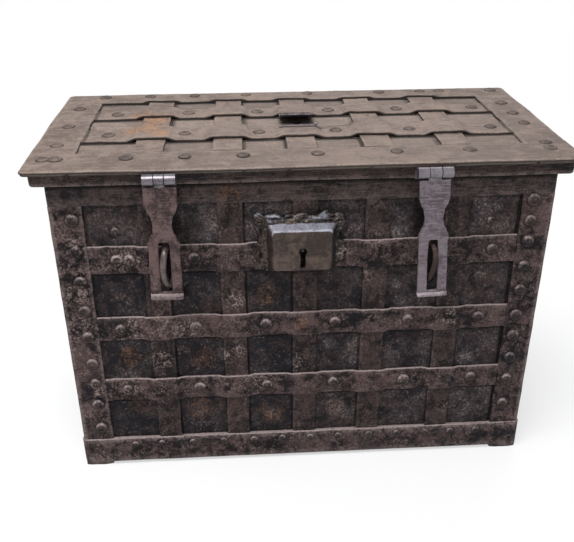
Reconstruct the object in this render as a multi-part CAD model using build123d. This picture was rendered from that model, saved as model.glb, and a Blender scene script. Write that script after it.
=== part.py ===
from build123d import *
import math
import os

# Iron armada chest with strapwork, two hasps and a many-bolted lock under the lid.
# Millimetres, +X to the right, +Y to the back, +Z up, floor at z = 0.
# The pieces are drawn about the middle of the body, and write_parts moves them all
# so that the whole chest stands centred over the origin.

# Chest body, measured over the corner straps
BODY_WIDTH = 700.0
BODY_DEPTH = 330.0
LID_TOP = 507.5
SHEET = 3.0
STRAP = 3.5
OVERRUN = 10.0
PLAY = 0.3

# Feet and plinth
FOOT_HEIGHT = 6.0
FOOT_SIDE = 46.0
PLINTH_TOP = 51.0
PLINTH_THICKNESS = 6.0

# Strapwork of the walls
COLLAR_HEIGHT = 50.7
CORNER_LEG = 46.0
VERTICAL_WIDTH = 35.0
ROW_WIDTHS = (39.0, 39.0, 42.5)
UPPER_ROW_DROP = 83.0
LOWER_ROW_SHARES = (0.2955, 0.6427)
LONG_VERTICAL_SHARES = (-0.606, -0.297, 0.0, 0.291, 0.611)
END_VERTICAL_SHARES = (-0.32, 0.32)
JOG_RUN = 5.0
JOG_GAP = 1.5

# Rivets
RIVET_DIAMETER = 19.0
RIVET_HEIGHT = 5.0
SMALL_RIVET_DIAMETER = 13.0
SMALL_RIVET_HEIGHT = 3.5
LID_RIVET_DIAMETER = 18.0
LID_RIVET_HEIGHT = 3.0
RIVET_SIDES = 6
FORGED_SIDES = 8
KNUCKLE_SIDES = 12
RIVET_CROWN_SHARE = 0.55
FRONT_RIVET_SHARES = (-0.774, -0.460, -0.163, 0.129, 0.443, 0.746)
UPPER_FRONT_RIVET_SHARES = (-0.757, -0.706, -0.449, 0.769)
END_RIVET_SHARES = (-0.55, 0.0, 0.55)
LEFT_CORNER_RIVET_SHARES = (0.06, 0.17, 0.27, 0.36, 0.48, 0.59, 0.71, 0.83, 0.95)
RIGHT_CORNER_RIVET_SHARES = (0.10, 0.22, 0.32, 0.42, 0.51, 0.62, 0.72, 0.82, 0.90, 0.98)
HIDDEN_CORNER_RIVET_SHARES = (0.06, 0.17, 0.36, 0.59, 0.71, 0.95)
PLINTH_RIVET_SHARES = (-0.77, -0.65, -0.51, -0.37, -0.23, -0.10, 0.03, 0.16, 0.30, 0.43, 0.56, 0.68, 0.80)
END_PLINTH_RIVET_SHARES = (-0.6, -0.2, 0.2, 0.6)
PANEL_RIVET_SHARE = 0.754
PANEL_RIVET_HEIGHT_SHARE = 0.90
PLINTH_RIVET_DROP = 11.0
COLLAR_RIVET_SHARES = (-0.471, -0.157, 0.109, 0.794)
COLLAR_RIVET_DROP = 35.0
COLLAR_RIVET_HEIGHT = 2.0

# Rim inside the mouth, which the bolts catch under
RIM_THICKNESS = 5.0
RIM_WIDTH = 22.5

# Lid
LID_SHEET = 3.0
LID_END_OVERHANG = 27.5
LID_FRONT_OVERHANG = 20.0
LID_BACK_OVERHANG = 27.0
LID_END_BORDER = 64.0
LID_FRONT_BORDER = 73.0
LID_BACK_BORDER = 53.0
SKIRT_HEIGHT = 17.0
SKIRT_THICKNESS = 6.0
SKIRT_END_OVERHANG = 16.5
SKIRT_FRONT_OVERHANG = 13.5
SKIRT_BACK_OVERHANG = 13.5
LID_CROSS_WIDTH = 42.0
LID_CROSS_SHARES = (-0.614, -0.300, 0.0, 0.309, 0.623)
LONG_STRAP_WIDTHS = (55.0, 45.0)
LONG_STRAP_CENTRE_SHARES = (-0.215, 0.427)
LID_FRONT_RIVET_SHARES = (-0.935, -0.89, -0.64, -0.43, -0.22, 0.05, 0.34, 0.61, 0.91)
LID_BACK_RIVET_SHARES = (-0.83, -0.63, -0.43, -0.2, 0.08, 0.41, 0.60, 0.69, 0.93)
LID_LEFT_RIVET_SHARES = (-0.47, 0.07, 0.65)
LID_RIGHT_RIVET_SHARES = (-0.68, -0.12, 0.20, 0.56)
LID_LONG_RIVET_SHARES = (-0.74, -0.445, -0.156, 0.146, 0.439, 0.765)

# Lid hinges at the back
HINGE_SHARES = (-0.606, 0.0, 0.611)
HINGE_RADIUS = 6.0
HINGE_PIN_RADIUS = 3.0
HINGE_DROP = 8.0
HINGE_OUT = 11.0
HINGE_MIDDLE = 20.0
HINGE_SIDE = 14.0
HINGE_LEAF = 5.0
HINGE_LEAF_LENGTH = 52.0
LID_LEAF = 4.0

# Hasps on the front
HASP_X_SHARES = (-0.553, 0.483)
HASP_WIDTHS = (45.0, 42.0)
HASP_BARREL_WIDTHS = (43.0, 47.0)
HASP_MIDDLE_WIDTHS = (14.0, 17.0)
HASP_LENGTHS = (167.5, 179.5)
HASP_SLOT_TOPS = (89.5, 97.5)
HASP_SLOT_LENGTHS = (76.0, 80.5)
HASP_SLOT_WIDTHS = (14.0, 15.0)
HASP_LEAN_DEGREES = (-0.5, 3.0)
HASP_NECK_WIDTHS = (26.0, 26.0)
HASP_NECK_TOP = 38.0
HASP_NECK_LENGTH = 53.0
HASP_THICKNESS = 5.0
HASP_BARREL_RADIUS = 7.5
HASP_PIN_RADIUS = 3.2
HASP_BARREL_DROP = 4.0
HASP_BARREL_OUT = 9.7
HASP_TOP_GAP = 3.0
HASP_LIP = 4.0
HASP_LIP_HEIGHTS = (9.0, 6.0)
HASP_LEAF = 4.0

# Staples that stand through the hasps' slots
STAPLE_ROD = 7.0
STAPLE_TOP_BELOW_SLOT = 11.0
STAPLE_NOSE_OUT = 13.0
STAPLE_FOOT_BACK = 3.0
STAPLE_NOSE_DROP = 8.0
STAPLE_FOOT_ABOVE_SLOT = 11.0
STAPLE_BEND = 5.5
STAPLE_SHIFTS = (-1.0, 7.0)
STAPLE_CLINCH = 3.0

# False lock on the front
LOCK_X = -5.5
LOCK_BELOW_COLLAR = 67.0
LOCK_BASE = (98.0, 73.0)
LOCK_FACE = (82.0, 59.0)
LOCK_RISE = 17.0
LOCK_WALL = 3.0
LOCK_FACE_UP = 0.5
LOCK_FOOT = 2.0
FRET_X = -7.0
FRET_UP = 5.0
FRET_SIZE = (116.0, 80.0)
FRET_THICKNESS = 2.0
FRET_LOBE_RADIUS = 10.0
FRET_LOBE_COUNTS = (7, 5)
FRET_HOLE_RADIUS = 3.8
FRET_HOLE_SIDES = 4
FRONT_KEY_EYE = 11.0
FRONT_KEY_SLOT = 8.0
FRONT_KEY_LENGTH = 30.0
FRONT_KEY_X = -4.0
FRONT_KEY_UP = 5.0

# Drop handles on the ends
HANDLE_UP_SHARE = 0.366
HANDLE_SPAN = 104.0
HANDLE_DROP = 58.0
HANDLE_ROD = 11.0
HANDLE_OUT = 14.5
HANDLE_BEND = 16.0
LUG_WIDTH = 12.0
LUG_HEIGHT = 24.0
LUG_BASE_WIDTH = 26.0
LUG_BASE_HEIGHT_SHARE = 0.69
LUG_BASE_THICKNESS = 3.5

# Keyhole in the lid and its raised cover
KEY_EYE = 15.0
KEY_SLOT = 8.0
KEY_LENGTH = 26.0
COVER_WIDTH = 50.0
COVER_LENGTH = 42.0
COVER_THICKNESS = 3.0
COVER_BARREL = 3.2
COVER_PIN = 1.5
COVER_RAISE_DEGREES = 22.0
COVER_EAR = 4.0
COVER_SEAT_GAP = 0.4
KEY_SPRING_THICKNESS = 1.6
KEY_SPRING_WIDTH = 4.0
KEY_SPRING_LENGTH = 54.0
KEY_SPRING_CURL = 4.0

# Lock under the lid
LOCK_PLATE = 5.5
LOCK_PLATE_GAPS = (25.0, 18.0)
BOLT_TRAVEL = 16.0
BOLT_WIDTH = 14.0
BOLT_THICKNESS = 8.0
BOLT_REST_GAP = 6.5
BOLT_END_GAPS = (29.5, 22.5)
BOLT_PLACE_SHARES = (0.0, 0.301, 0.655, 1.0)
END_BOLT_SHARE = 0.42
LOCK_BAR_WIDTH = 84.0
LOCK_BAR_THICKNESS = 4.0
LOCK_BAR_END_GAP = 59.0
LOCK_BAR_CUT_GAP = 17.0
DRIVE_PIN = 7.0
DRIVE_PIN_Y = 12.0
BAR_WINDOW = (62.0, 46.0)
TALON = (8.0, 12.0)
GUIDE_LENGTH = 12.0
GUIDE_WALL = 3.0
GUIDE_Y_SHARE = 0.86
BAR_GUIDE_SHARES = (-0.42, 0.42)
CROSSHEAD = 16.0
CROSSHEAD_SHARE = 0.82
CROSSHEAD_GAP = 2.0
LEVER_ARM = 25.0
LEVER_WIDTH = 14.0
LEVER_THICKNESS = 4.2
LEVER_PIVOT_GAP = 89.0
LEVER_PIN = 8.0
SLOT_PLAY = 0.5
LUG_OUT = 8.0
LUG_Y_SHARE = 0.515
BOLT_SPRING_SHARE = 0.92
BOLT_SPRING_THICKNESS = 1.6
BOLT_SPRING_BOW = 6.0
SPRING_POST = 7.0
PILLAR = 9.0
PLATE_THICKNESS = 2.5
PILLAR_GAP = 25.5
PLATE_HOLE = 9.0
PLATE_HOLE_TAIL = 26.0
PLATE_COLUMN_COUNT = 9
PLATE_MARGIN = 26.0
KEY_PIN = 6.0

# Sizes worked out from the ones above
HALF_WIDTH = BODY_WIDTH / 2
HALF_DEPTH = BODY_DEPTH / 2
SHEET_X = HALF_WIDTH - STRAP
SHEET_Y = HALF_DEPTH - STRAP
INNER_X = SHEET_X - SHEET
INNER_Y = SHEET_Y - SHEET
PLINTH_X = SHEET_X + PLINTH_THICKNESS
PLINTH_Y = SHEET_Y + PLINTH_THICKNESS
LID_PLATE_TOP = LID_TOP - STRAP
LID_UNDER = LID_PLATE_TOP - LID_SHEET
RIM_TOP = LID_UNDER - PLAY
SKIRT_BOTTOM = LID_UNDER - SKIRT_HEIGHT
COLLAR_BOTTOM = RIM_TOP - COLLAR_HEIGHT
WALL_BOTTOM = FOOT_HEIGHT
PANEL_HEIGHT = COLLAR_BOTTOM - PLINTH_TOP
CORNER_INNER_X = HALF_WIDTH - CORNER_LEG
CORNER_INNER_Y = HALF_DEPTH - CORNER_LEG
LID_X = HALF_WIDTH + LID_END_OVERHANG
LID_FRONT = -(HALF_DEPTH + LID_FRONT_OVERHANG)
LID_BACK = HALF_DEPTH + LID_BACK_OVERHANG
LID_INNER_X = LID_X - LID_END_BORDER
LID_INNER_FRONT = LID_FRONT + LID_FRONT_BORDER
LID_INNER_BACK = LID_BACK - LID_BACK_BORDER
SKIRT_X = HALF_WIDTH + SKIRT_END_OVERHANG
SKIRT_FRONT = -(HALF_DEPTH + SKIRT_FRONT_OVERHANG)
SKIRT_BACK = HALF_DEPTH + SKIRT_BACK_OVERHANG
HINGE_Y = HALF_DEPTH + HINGE_OUT
HINGE_Z = SKIRT_BOTTOM - HINGE_DROP
HASP_XS = [share * HALF_WIDTH for share in HASP_X_SHARES]
STAPLE_XS = [x + shift for x, shift in zip(HASP_XS, STAPLE_SHIFTS)]
HASP_BARREL_Y = LID_FRONT - HASP_BARREL_OUT
HASP_BARREL_Z = LID_UNDER - HASP_BARREL_DROP
HASP_BACK = HASP_BARREL_Y + HASP_THICKNESS / 2
HASP_FRONT = HASP_BARREL_Y - HASP_THICKNESS / 2
RAISED_FRONT = HALF_DEPTH + STRAP
LOCK_Z = COLLAR_BOTTOM - LOCK_BELOW_COLLAR
FRET_Z = LOCK_Z + FRET_UP
FRONT_KEY_TOP = LOCK_Z + FRONT_KEY_UP
KEY_FRONT_EDGE = LONG_STRAP_CENTRE_SHARES[0] * HALF_DEPTH + LONG_STRAP_WIDTHS[0] / 2
KEY_BACK_EDGE = LONG_STRAP_CENTRE_SHARES[1] * HALF_DEPTH - LONG_STRAP_WIDTHS[1] / 2
KEY_Y = (KEY_FRONT_EDGE + KEY_BACK_EDGE) / 2
BOLT_TOP = LID_UNDER - LOCK_PLATE - PLAY
BOLT_BOTTOM = BOLT_TOP - BOLT_THICKNESS
BAR_TOP = BOLT_BOTTOM - PLAY
BAR_BOTTOM = BAR_TOP - LOCK_BAR_THICKNESS
LEVER_TOP = BAR_BOTTOM - PLAY
LEVER_BOTTOM = LEVER_TOP - LEVER_THICKNESS
PLATE_TOP = LEVER_BOTTOM - GUIDE_WALL
PLATE_BOTTOM = PLATE_TOP - PLATE_THICKNESS
RIM_INNER_X = INNER_X - RIM_WIDTH
RIM_INNER_Y = INNER_Y - RIM_WIDTH
LOCK_HALF_X = RIM_INNER_X - LOCK_PLATE_GAPS[0]
LOCK_HALF_Y = RIM_INNER_Y - LOCK_PLATE_GAPS[1]
LOCK_BAR_END = RIM_INNER_X - LOCK_BAR_END_GAP
LEVER_PIVOT_X = LEVER_PIVOT_GAP - RIM_INNER_X
LOCK_BAR_CUT = -LEVER_PIVOT_X - LOCK_BAR_CUT_GAP
RIGHT_HEAD_X = LOCK_BAR_END - CROSSHEAD - BOLT_WIDTH
FIRST_BOLT_X = BOLT_END_GAPS[0] - LOCK_BAR_CUT
LAST_BOLT_X = RIGHT_HEAD_X - BOLT_END_GAPS[1]
BOLT_LUG_Y = LUG_Y_SHARE * RIM_INNER_Y
PILLAR_X = -FIRST_BOLT_X - PILLAR_GAP
PILLAR_Y = BOLT_LUG_Y + LUG_OUT + PILLAR / 2
LEVER_SWING = BOLT_TRAVEL / 2
FRONT_REACH = max(
    -HASP_BARREL_Y + HASP_BARREL_RADIUS,
    -HASP_FRONT + STAPLE_NOSE_OUT,
)
FRAME_SHIFT = (FRONT_REACH - LID_BACK) / 2


def block(x, y, z):
    """Box between two corners, each side given as a (low, high) pair."""
    size = [high - low for low, high in (x, y, z)]
    middle = [(low + high) / 2 for low, high in (x, y, z)]
    return Pos(*middle) * Box(*size)


def rod(start, end, radius):
    """Round bar from one point to another."""
    axis = Vector(*end) - Vector(*start)
    return Plane(origin=start, z_dir=axis) * extrude(Circle(radius), axis.length)


def forged_rod(start, end, radius, sides=FORGED_SIDES):
    """Hammered bar with flat facets from one point to another."""
    axis = Vector(*end) - Vector(*start)
    return Plane(origin=start, z_dir=axis) * extrude(RegularPolygon(radius, sides), axis.length)


def front_at(x, z, level):
    """Place on the front, looking out, at a distance from the body's middle plane."""
    return Plane(origin=(x, -level, z), x_dir=(1, 0, 0), z_dir=(0, -1, 0))


def back_at(x, z, level):
    return Plane(origin=(x, level, z), x_dir=(-1, 0, 0), z_dir=(0, 1, 0))


def end_at(side, y, z, level):
    return Plane(origin=(side * level, y, z), x_dir=(0, side, 0), z_dir=(side, 0, 0))


def top_at(x, y, level):
    return Plane(origin=(x, y, level), x_dir=(1, 0, 0), z_dir=(0, 0, 1))


def rivet_head(diameter, height):
    """Head hammered into one ring of flat facets, its base on the plane z = 0."""
    radius = diameter / 2
    crown = Pos(0, 0, height) * RegularPolygon(radius * RIVET_CROWN_SHARE, RIVET_SIDES)
    return loft([RegularPolygon(radius, RIVET_SIDES), crown], ruled=True)


def joggled_profile(low, high, crossings, crossing_width):
    """Side view of a strap that lies on a plate and steps up over other straps."""
    line = [(low, 0)]
    half = crossing_width / 2
    for centre in crossings:
        line.append((centre - half - JOG_GAP - JOG_RUN, 0))
        line.append((centre - half - JOG_GAP, STRAP))
        line.append((centre + half + JOG_GAP, STRAP))
        line.append((centre + half + JOG_GAP + JOG_RUN, 0))
    line.append((high, 0))
    upper = [(along, out + STRAP) for along, out in reversed(line)]
    return make_face(Polyline(*line, *upper, close=True))


def row_heights():
    """Bottom and top of each horizontal strap row, from the lowest up."""
    upper = COLLAR_BOTTOM - UPPER_ROW_DROP
    centres = [PLINTH_TOP + share * (upper - PLINTH_TOP) for share in LOWER_ROW_SHARES]
    centres.append(upper)
    return [(centre - width / 2, centre + width / 2) for centre, width in zip(centres, ROW_WIDTHS)]


def long_verticals():
    return [share * HALF_WIDTH for share in LONG_VERTICAL_SHARES]


def end_verticals():
    return [share * HALF_DEPTH for share in END_VERTICAL_SHARES]


# Body walls


def front_sheet():
    sheet = block(
        (-SHEET_X, SHEET_X), (-SHEET_Y, -INNER_Y), (WALL_BOTTOM, RIM_TOP - RIM_THICKNESS)
    )
    return sheet - staple_legs()


def back_sheet():
    return block(
        (-SHEET_X, SHEET_X), (INNER_Y, SHEET_Y), (WALL_BOTTOM, RIM_TOP - RIM_THICKNESS)
    )


def end_sheet(side):
    inner, outer = sorted((side * INNER_X, side * SHEET_X))
    return block(
        (inner, outer), (-INNER_Y, INNER_Y), (WALL_BOTTOM, RIM_TOP - RIM_THICKNESS)
    )


def bottom_sheet():
    return block(
        (-INNER_X, INNER_X), (-INNER_Y, INNER_Y), (WALL_BOTTOM, WALL_BOTTOM + SHEET)
    )


def rim_flange():
    """Four flat bars round the mouth, on top of the wall sheets."""
    height = (RIM_TOP - RIM_THICKNESS, RIM_TOP)
    bars = []
    for side in (-1, 1):
        along = sorted((side * RIM_INNER_Y, side * SHEET_Y))
        bars.append(block((-SHEET_X, SHEET_X), along, height))
        across = sorted((side * RIM_INNER_X, side * SHEET_X))
        bars.append(block(across, (-RIM_INNER_Y, RIM_INNER_Y), height))
    return bars


def collar_band():
    """Plain band round the mouth, level with the straps."""
    height = (COLLAR_BOTTOM, RIM_TOP)
    outer = block((-HALF_WIDTH, HALF_WIDTH), (-HALF_DEPTH, HALF_DEPTH), height)
    return outer - block(
        (-SHEET_X, SHEET_X), (-SHEET_Y, SHEET_Y), (COLLAR_BOTTOM - OVERRUN, RIM_TOP + OVERRUN)
    )


def plinth_band():
    """Thick band round the foot of the walls."""
    height = (WALL_BOTTOM, PLINTH_TOP)
    outer = block((-PLINTH_X, PLINTH_X), (-PLINTH_Y, PLINTH_Y), height)
    return outer - block(
        (-SHEET_X, SHEET_X), (-SHEET_Y, SHEET_Y), (WALL_BOTTOM - OVERRUN, PLINTH_TOP + OVERRUN)
    )


def corner_feet():
    feet = []
    for side_x in (-1, 1):
        for side_y in (-1, 1):
            x = sorted((side_x * PLINTH_X, side_x * (PLINTH_X - FOOT_SIDE)))
            y = sorted((side_y * PLINTH_Y, side_y * (PLINTH_Y - FOOT_SIDE)))
            feet.append(block(x, y, (0, FOOT_HEIGHT)))
    return feet


# Straps of the walls


def corner_straps():
    """Angle straps round the four upright corners."""
    straps = []
    height = (PLINTH_TOP, COLLAR_BOTTOM)
    tall = (PLINTH_TOP - OVERRUN, COLLAR_BOTTOM + OVERRUN)
    for side_x in (-1, 1):
        for side_y in (-1, 1):
            x = sorted((side_x * HALF_WIDTH, side_x * CORNER_INNER_X))
            y = sorted((side_y * HALF_DEPTH, side_y * CORNER_INNER_Y))
            inside_x = sorted((side_x * SHEET_X, side_x * (CORNER_INNER_X - OVERRUN)))
            inside_y = sorted((side_y * SHEET_Y, side_y * (CORNER_INNER_Y - OVERRUN)))
            straps.append(block(x, y, height) - block(inside_x, inside_y, tall))
    return straps


def front_verticals():
    straps = [
        block(
            (x - VERTICAL_WIDTH / 2, x + VERTICAL_WIDTH / 2),
            (-HALF_DEPTH, -SHEET_Y),
            (PLINTH_TOP, COLLAR_BOTTOM),
        )
        for x in long_verticals()
    ]
    return [strap - staple_legs() for strap in straps]


def back_verticals():
    return [
        block(
            (x - VERTICAL_WIDTH / 2, x + VERTICAL_WIDTH / 2),
            (SHEET_Y, HALF_DEPTH),
            (PLINTH_TOP, COLLAR_BOTTOM),
        )
        for x in long_verticals()
    ]


def side_verticals():
    straps = []
    for side in (-1, 1):
        x = sorted((side * SHEET_X, side * HALF_WIDTH))
        for y in end_verticals():
            across = (y - VERTICAL_WIDTH / 2, y + VERTICAL_WIDTH / 2)
            straps.append(block(x, across, (PLINTH_TOP, COLLAR_BOTTOM)))
    return straps


def long_rows(side):
    """The three joggled straps of the front (side -1) or the back (side 1)."""
    profile = joggled_profile(
        -CORNER_INNER_X, CORNER_INNER_X, long_verticals(), VERTICAL_WIDTH
    )
    straps = []
    for bottom, top in row_heights():
        flat = Plane(origin=(0, side * SHEET_Y, bottom), x_dir=(1, 0, 0), z_dir=(0, 0, side))
        strap = extrude(flat * profile, (top - bottom) * side)
        straps.append(strap)
    return straps


def front_straps():
    return [strap - staple_legs() for strap in long_rows(-1)]


def back_straps():
    return long_rows(1)


def end_straps(side):
    """The three joggled straps of one end, side -1 on the left and 1 on the right."""
    profile = joggled_profile(
        -CORNER_INNER_Y, CORNER_INNER_Y, end_verticals(), VERTICAL_WIDTH
    )
    straps = []
    for bottom, top in row_heights():
        flat = Plane(origin=(side * SHEET_X, 0, bottom), x_dir=(0, 1, 0), z_dir=(0, 0, -side))
        straps.append(extrude(flat * profile, (bottom - top) * side))
    return straps


# Rivets


def wall_rivets(place_at, corner_shares):
    """Rivets of the front or the back, put on by the given placing rule."""
    head = rivet_head(RIVET_DIAMETER, RIVET_HEIGHT)
    small = rivet_head(SMALL_RIVET_DIAMETER, SMALL_RIVET_HEIGHT)
    heads = []
    rows = row_heights()
    for bottom, top in rows[:2]:
        for share in FRONT_RIVET_SHARES:
            heads.append(place_at(share * HALF_WIDTH, (bottom + top) / 2, HALF_DEPTH) * head)
    upper = sum(rows[2]) / 2
    for share in UPPER_FRONT_RIVET_SHARES:
        heads.append(place_at(share * HALF_WIDTH, upper, HALF_DEPTH) * head)
    for side, shares in zip((-1, 1), corner_shares):
        x = side * (HALF_WIDTH - CORNER_LEG * 2 / 3)
        for share in shares:
            heads.append(place_at(x, PLINTH_TOP + share * PANEL_HEIGHT, HALF_DEPTH) * head)
    for share in PLINTH_RIVET_SHARES:
        z = PLINTH_TOP - PLINTH_RIVET_DROP
        heads.append(place_at(share * HALF_WIDTH, z, PLINTH_Y) * small)
    panel_z = PLINTH_TOP + PANEL_RIVET_HEIGHT_SHARE * PANEL_HEIGHT
    for side in (-1, 1):
        heads.append(place_at(side * PANEL_RIVET_SHARE * HALF_WIDTH, panel_z, SHEET_Y) * small)
    return heads


def front_rivets():
    heads = wall_rivets(front_at, (LEFT_CORNER_RIVET_SHARES, RIGHT_CORNER_RIVET_SHARES))
    low = rivet_head(RIVET_DIAMETER, COLLAR_RIVET_HEIGHT)
    for share in COLLAR_RIVET_SHARES:
        heads.append(front_at(share * HALF_WIDTH, RIM_TOP - COLLAR_RIVET_DROP, HALF_DEPTH) * low)
    return heads


def back_rivets():
    return wall_rivets(back_at, (HIDDEN_CORNER_RIVET_SHARES, HIDDEN_CORNER_RIVET_SHARES))


def end_rivets():
    head = rivet_head(RIVET_DIAMETER, RIVET_HEIGHT)
    small = rivet_head(SMALL_RIVET_DIAMETER, SMALL_RIVET_HEIGHT)
    heads = []
    for side in (-1, 1):
        for bottom, top in row_heights():
            for share in END_RIVET_SHARES:
                place = end_at(side, share * HALF_DEPTH, (bottom + top) / 2, HALF_WIDTH)
                heads.append(place * head)
        for across in (-1, 1):
            y = across * (HALF_DEPTH - CORNER_LEG * 2 / 3)
            for share in HIDDEN_CORNER_RIVET_SHARES:
                z = PLINTH_TOP + share * PANEL_HEIGHT
                heads.append(end_at(side, y, z, HALF_WIDTH) * head)
        for share in END_PLINTH_RIVET_SHARES:
            z = PLINTH_TOP - PLINTH_RIVET_DROP
            heads.append(end_at(side, share * HALF_DEPTH, z, PLINTH_X) * small)
    return heads


def lid_rivets():
    head = rivet_head(LID_RIVET_DIAMETER, LID_RIVET_HEIGHT)
    front_y = LID_FRONT + LID_FRONT_BORDER * 2 / 3
    back_y = LID_BACK - LID_BACK_BORDER / 3
    end_x = LID_X - LID_END_BORDER / 2
    heads = [top_at(share * LID_X, front_y, LID_TOP) * head for share in LID_FRONT_RIVET_SHARES]
    heads += [top_at(share * LID_X, back_y, LID_TOP) * head for share in LID_BACK_RIVET_SHARES]
    for side, shares in ((-1, LID_LEFT_RIVET_SHARES), (1, LID_RIGHT_RIVET_SHARES)):
        heads += [top_at(side * end_x, share * HALF_DEPTH, LID_TOP) * head for share in shares]
    for low, high in long_strap_spans():
        for share in LID_LONG_RIVET_SHARES:
            heads.append(top_at(share * LID_X, (low + high) / 2, LID_TOP) * head)
    return heads


# Lid


def lid_sheet():
    plate = block((-LID_X, LID_X), (LID_FRONT, LID_BACK), (LID_UNDER, LID_PLATE_TOP))
    return plate - key_cut(LID_UNDER, LID_PLATE_TOP)


def key_cut(bottom, top):
    """Keyhole through the lid: a round eye with a slot towards the front."""
    low, high = bottom - OVERRUN, top + OVERRUN
    eye = rod((0, KEY_Y, low), (0, KEY_Y, high), KEY_EYE / 2)
    slot = block((-KEY_SLOT / 2, KEY_SLOT / 2), (KEY_Y - KEY_LENGTH + KEY_EYE / 2, KEY_Y), (low, high))
    return eye + slot


def lid_border():
    """Flat straps round the edge of the lid."""
    height = (LID_PLATE_TOP, LID_TOP)
    straps = [
        block((-LID_X, LID_X), (LID_FRONT, LID_INNER_FRONT), height),
        block((-LID_X, LID_X), (LID_INNER_BACK, LID_BACK), height),
    ]
    for side in (-1, 1):
        x = sorted((side * LID_INNER_X, side * LID_X))
        straps.append(block(x, (LID_INNER_FRONT, LID_INNER_BACK), height))
    return straps


def lid_skirt():
    """Four bars that hang from the lid round the collar."""
    height = (SKIRT_BOTTOM, LID_UNDER)
    bars = [
        block((-SKIRT_X, SKIRT_X), (SKIRT_FRONT, SKIRT_FRONT + SKIRT_THICKNESS), height),
        block((-SKIRT_X, SKIRT_X), (SKIRT_BACK - SKIRT_THICKNESS, SKIRT_BACK), height),
    ]
    for side in (-1, 1):
        x = sorted((side * SKIRT_X, side * (SKIRT_X - SKIRT_THICKNESS)))
        y = (SKIRT_FRONT + SKIRT_THICKNESS, SKIRT_BACK - SKIRT_THICKNESS)
        bars.append(block(x, y, height))
    return bars


def long_strap_spans():
    """Front and back edge of each of the two long straps on the lid."""
    spans = []
    for share, width in zip(LONG_STRAP_CENTRE_SHARES, LONG_STRAP_WIDTHS):
        centre = share * HALF_DEPTH
        spans.append((centre - width / 2, centre + width / 2))
    return spans


def lid_crossings():
    return [share * HALF_WIDTH for share in LID_CROSS_SHARES]


def lid_long_straps():
    profile = joggled_profile(-LID_INNER_X, LID_INNER_X, lid_crossings(), LID_CROSS_WIDTH)
    straps = []
    for low, high in long_strap_spans():
        flat = Plane(origin=(0, high, LID_PLATE_TOP), x_dir=(1, 0, 0), z_dir=(0, -1, 0))
        straps.append(extrude(flat * profile, high - low))
    return straps


def lid_cross_straps():
    """Straps from front to back; the middle one stops on each side of the keyhole."""
    height = (LID_PLATE_TOP, LID_TOP)
    spans = long_strap_spans()
    middle = len(LID_CROSS_SHARES) // 2
    straps = []
    for place, x in enumerate(lid_crossings()):
        across = (x - LID_CROSS_WIDTH / 2, x + LID_CROSS_WIDTH / 2)
        if place == middle:
            straps.append(block(across, (LID_INNER_FRONT, spans[0][1]), height))
            straps.append(block(across, (spans[1][0], LID_INNER_BACK), height))
        else:
            straps.append(block(across, (LID_INNER_FRONT, LID_INNER_BACK), height))
    return straps


# Lid hinges


def hinge_xs():
    return [share * HALF_WIDTH for share in HINGE_SHARES]


def body_hinge_leaves():
    """Leaves on the back wall, each with the two outer knuckles of its hinge."""
    leaves = []
    for x in hinge_xs():
        half = HINGE_MIDDLE / 2 + HINGE_SIDE
        leaf = block((x - half, x + half), (HALF_DEPTH, HALF_DEPTH + HINGE_LEAF),
                     (HINGE_Z - HINGE_LEAF_LENGTH, HINGE_Z))
        for side in (-1, 1):
            span = sorted((x + side * HINGE_MIDDLE / 2, x + side * half))
            ends = [(along, HINGE_Y, HINGE_Z) for along in span]
            leaf += forged_rod(ends[0], ends[1], HINGE_RADIUS, KNUCKLE_SIDES)
            leaf += block(span, (HALF_DEPTH, HINGE_Y), (HINGE_Z - HINGE_RADIUS, HINGE_Z))
        leaf -= rod((x - half - OVERRUN, HINGE_Y, HINGE_Z), (x + half + OVERRUN, HINGE_Y, HINGE_Z),
                    HINGE_PIN_RADIUS + PLAY)
        gap = HINGE_MIDDLE / 2 + PLAY
        notch = block((x - gap, x + gap), (HALF_DEPTH, HINGE_Y + HINGE_RADIUS + OVERRUN),
                      (HINGE_Z - HINGE_RADIUS - PLAY, HINGE_Z + HINGE_RADIUS + OVERRUN))
        leaves.append(leaf - notch)
    return leaves


def lid_hinge_leaves():
    """Leaves on the back of the skirt, each with the middle knuckle of its hinge."""
    leaves = []
    for x in hinge_xs():
        half = HINGE_MIDDLE / 2 + HINGE_SIDE
        knuckle = HINGE_MIDDLE / 2 - PLAY
        above = HINGE_Z + HINGE_RADIUS + PLAY
        leaf = block((x - half, x + half), (SKIRT_BACK, SKIRT_BACK + LID_LEAF), (above, LID_UNDER))
        leaf += block((x - knuckle, x + knuckle), (SKIRT_BACK, SKIRT_BACK + LID_LEAF), (HINGE_Z, above))
        ends = [(along, HINGE_Y, HINGE_Z) for along in (x - knuckle, x + knuckle)]
        leaf += forged_rod(ends[0], ends[1], HINGE_RADIUS, KNUCKLE_SIDES)
        leaf -= rod((x - half, HINGE_Y, HINGE_Z), (x + half, HINGE_Y, HINGE_Z), HINGE_PIN_RADIUS + PLAY)
        leaves.append(leaf)
    return leaves


def hinge_pins():
    half = HINGE_MIDDLE / 2 + HINGE_SIDE
    return [
        rod((x - half, HINGE_Y, HINGE_Z), (x + half, HINGE_Y, HINGE_Z), HINGE_PIN_RADIUS)
        for x in hinge_xs()
    ]


# Hasps and staples


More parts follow.
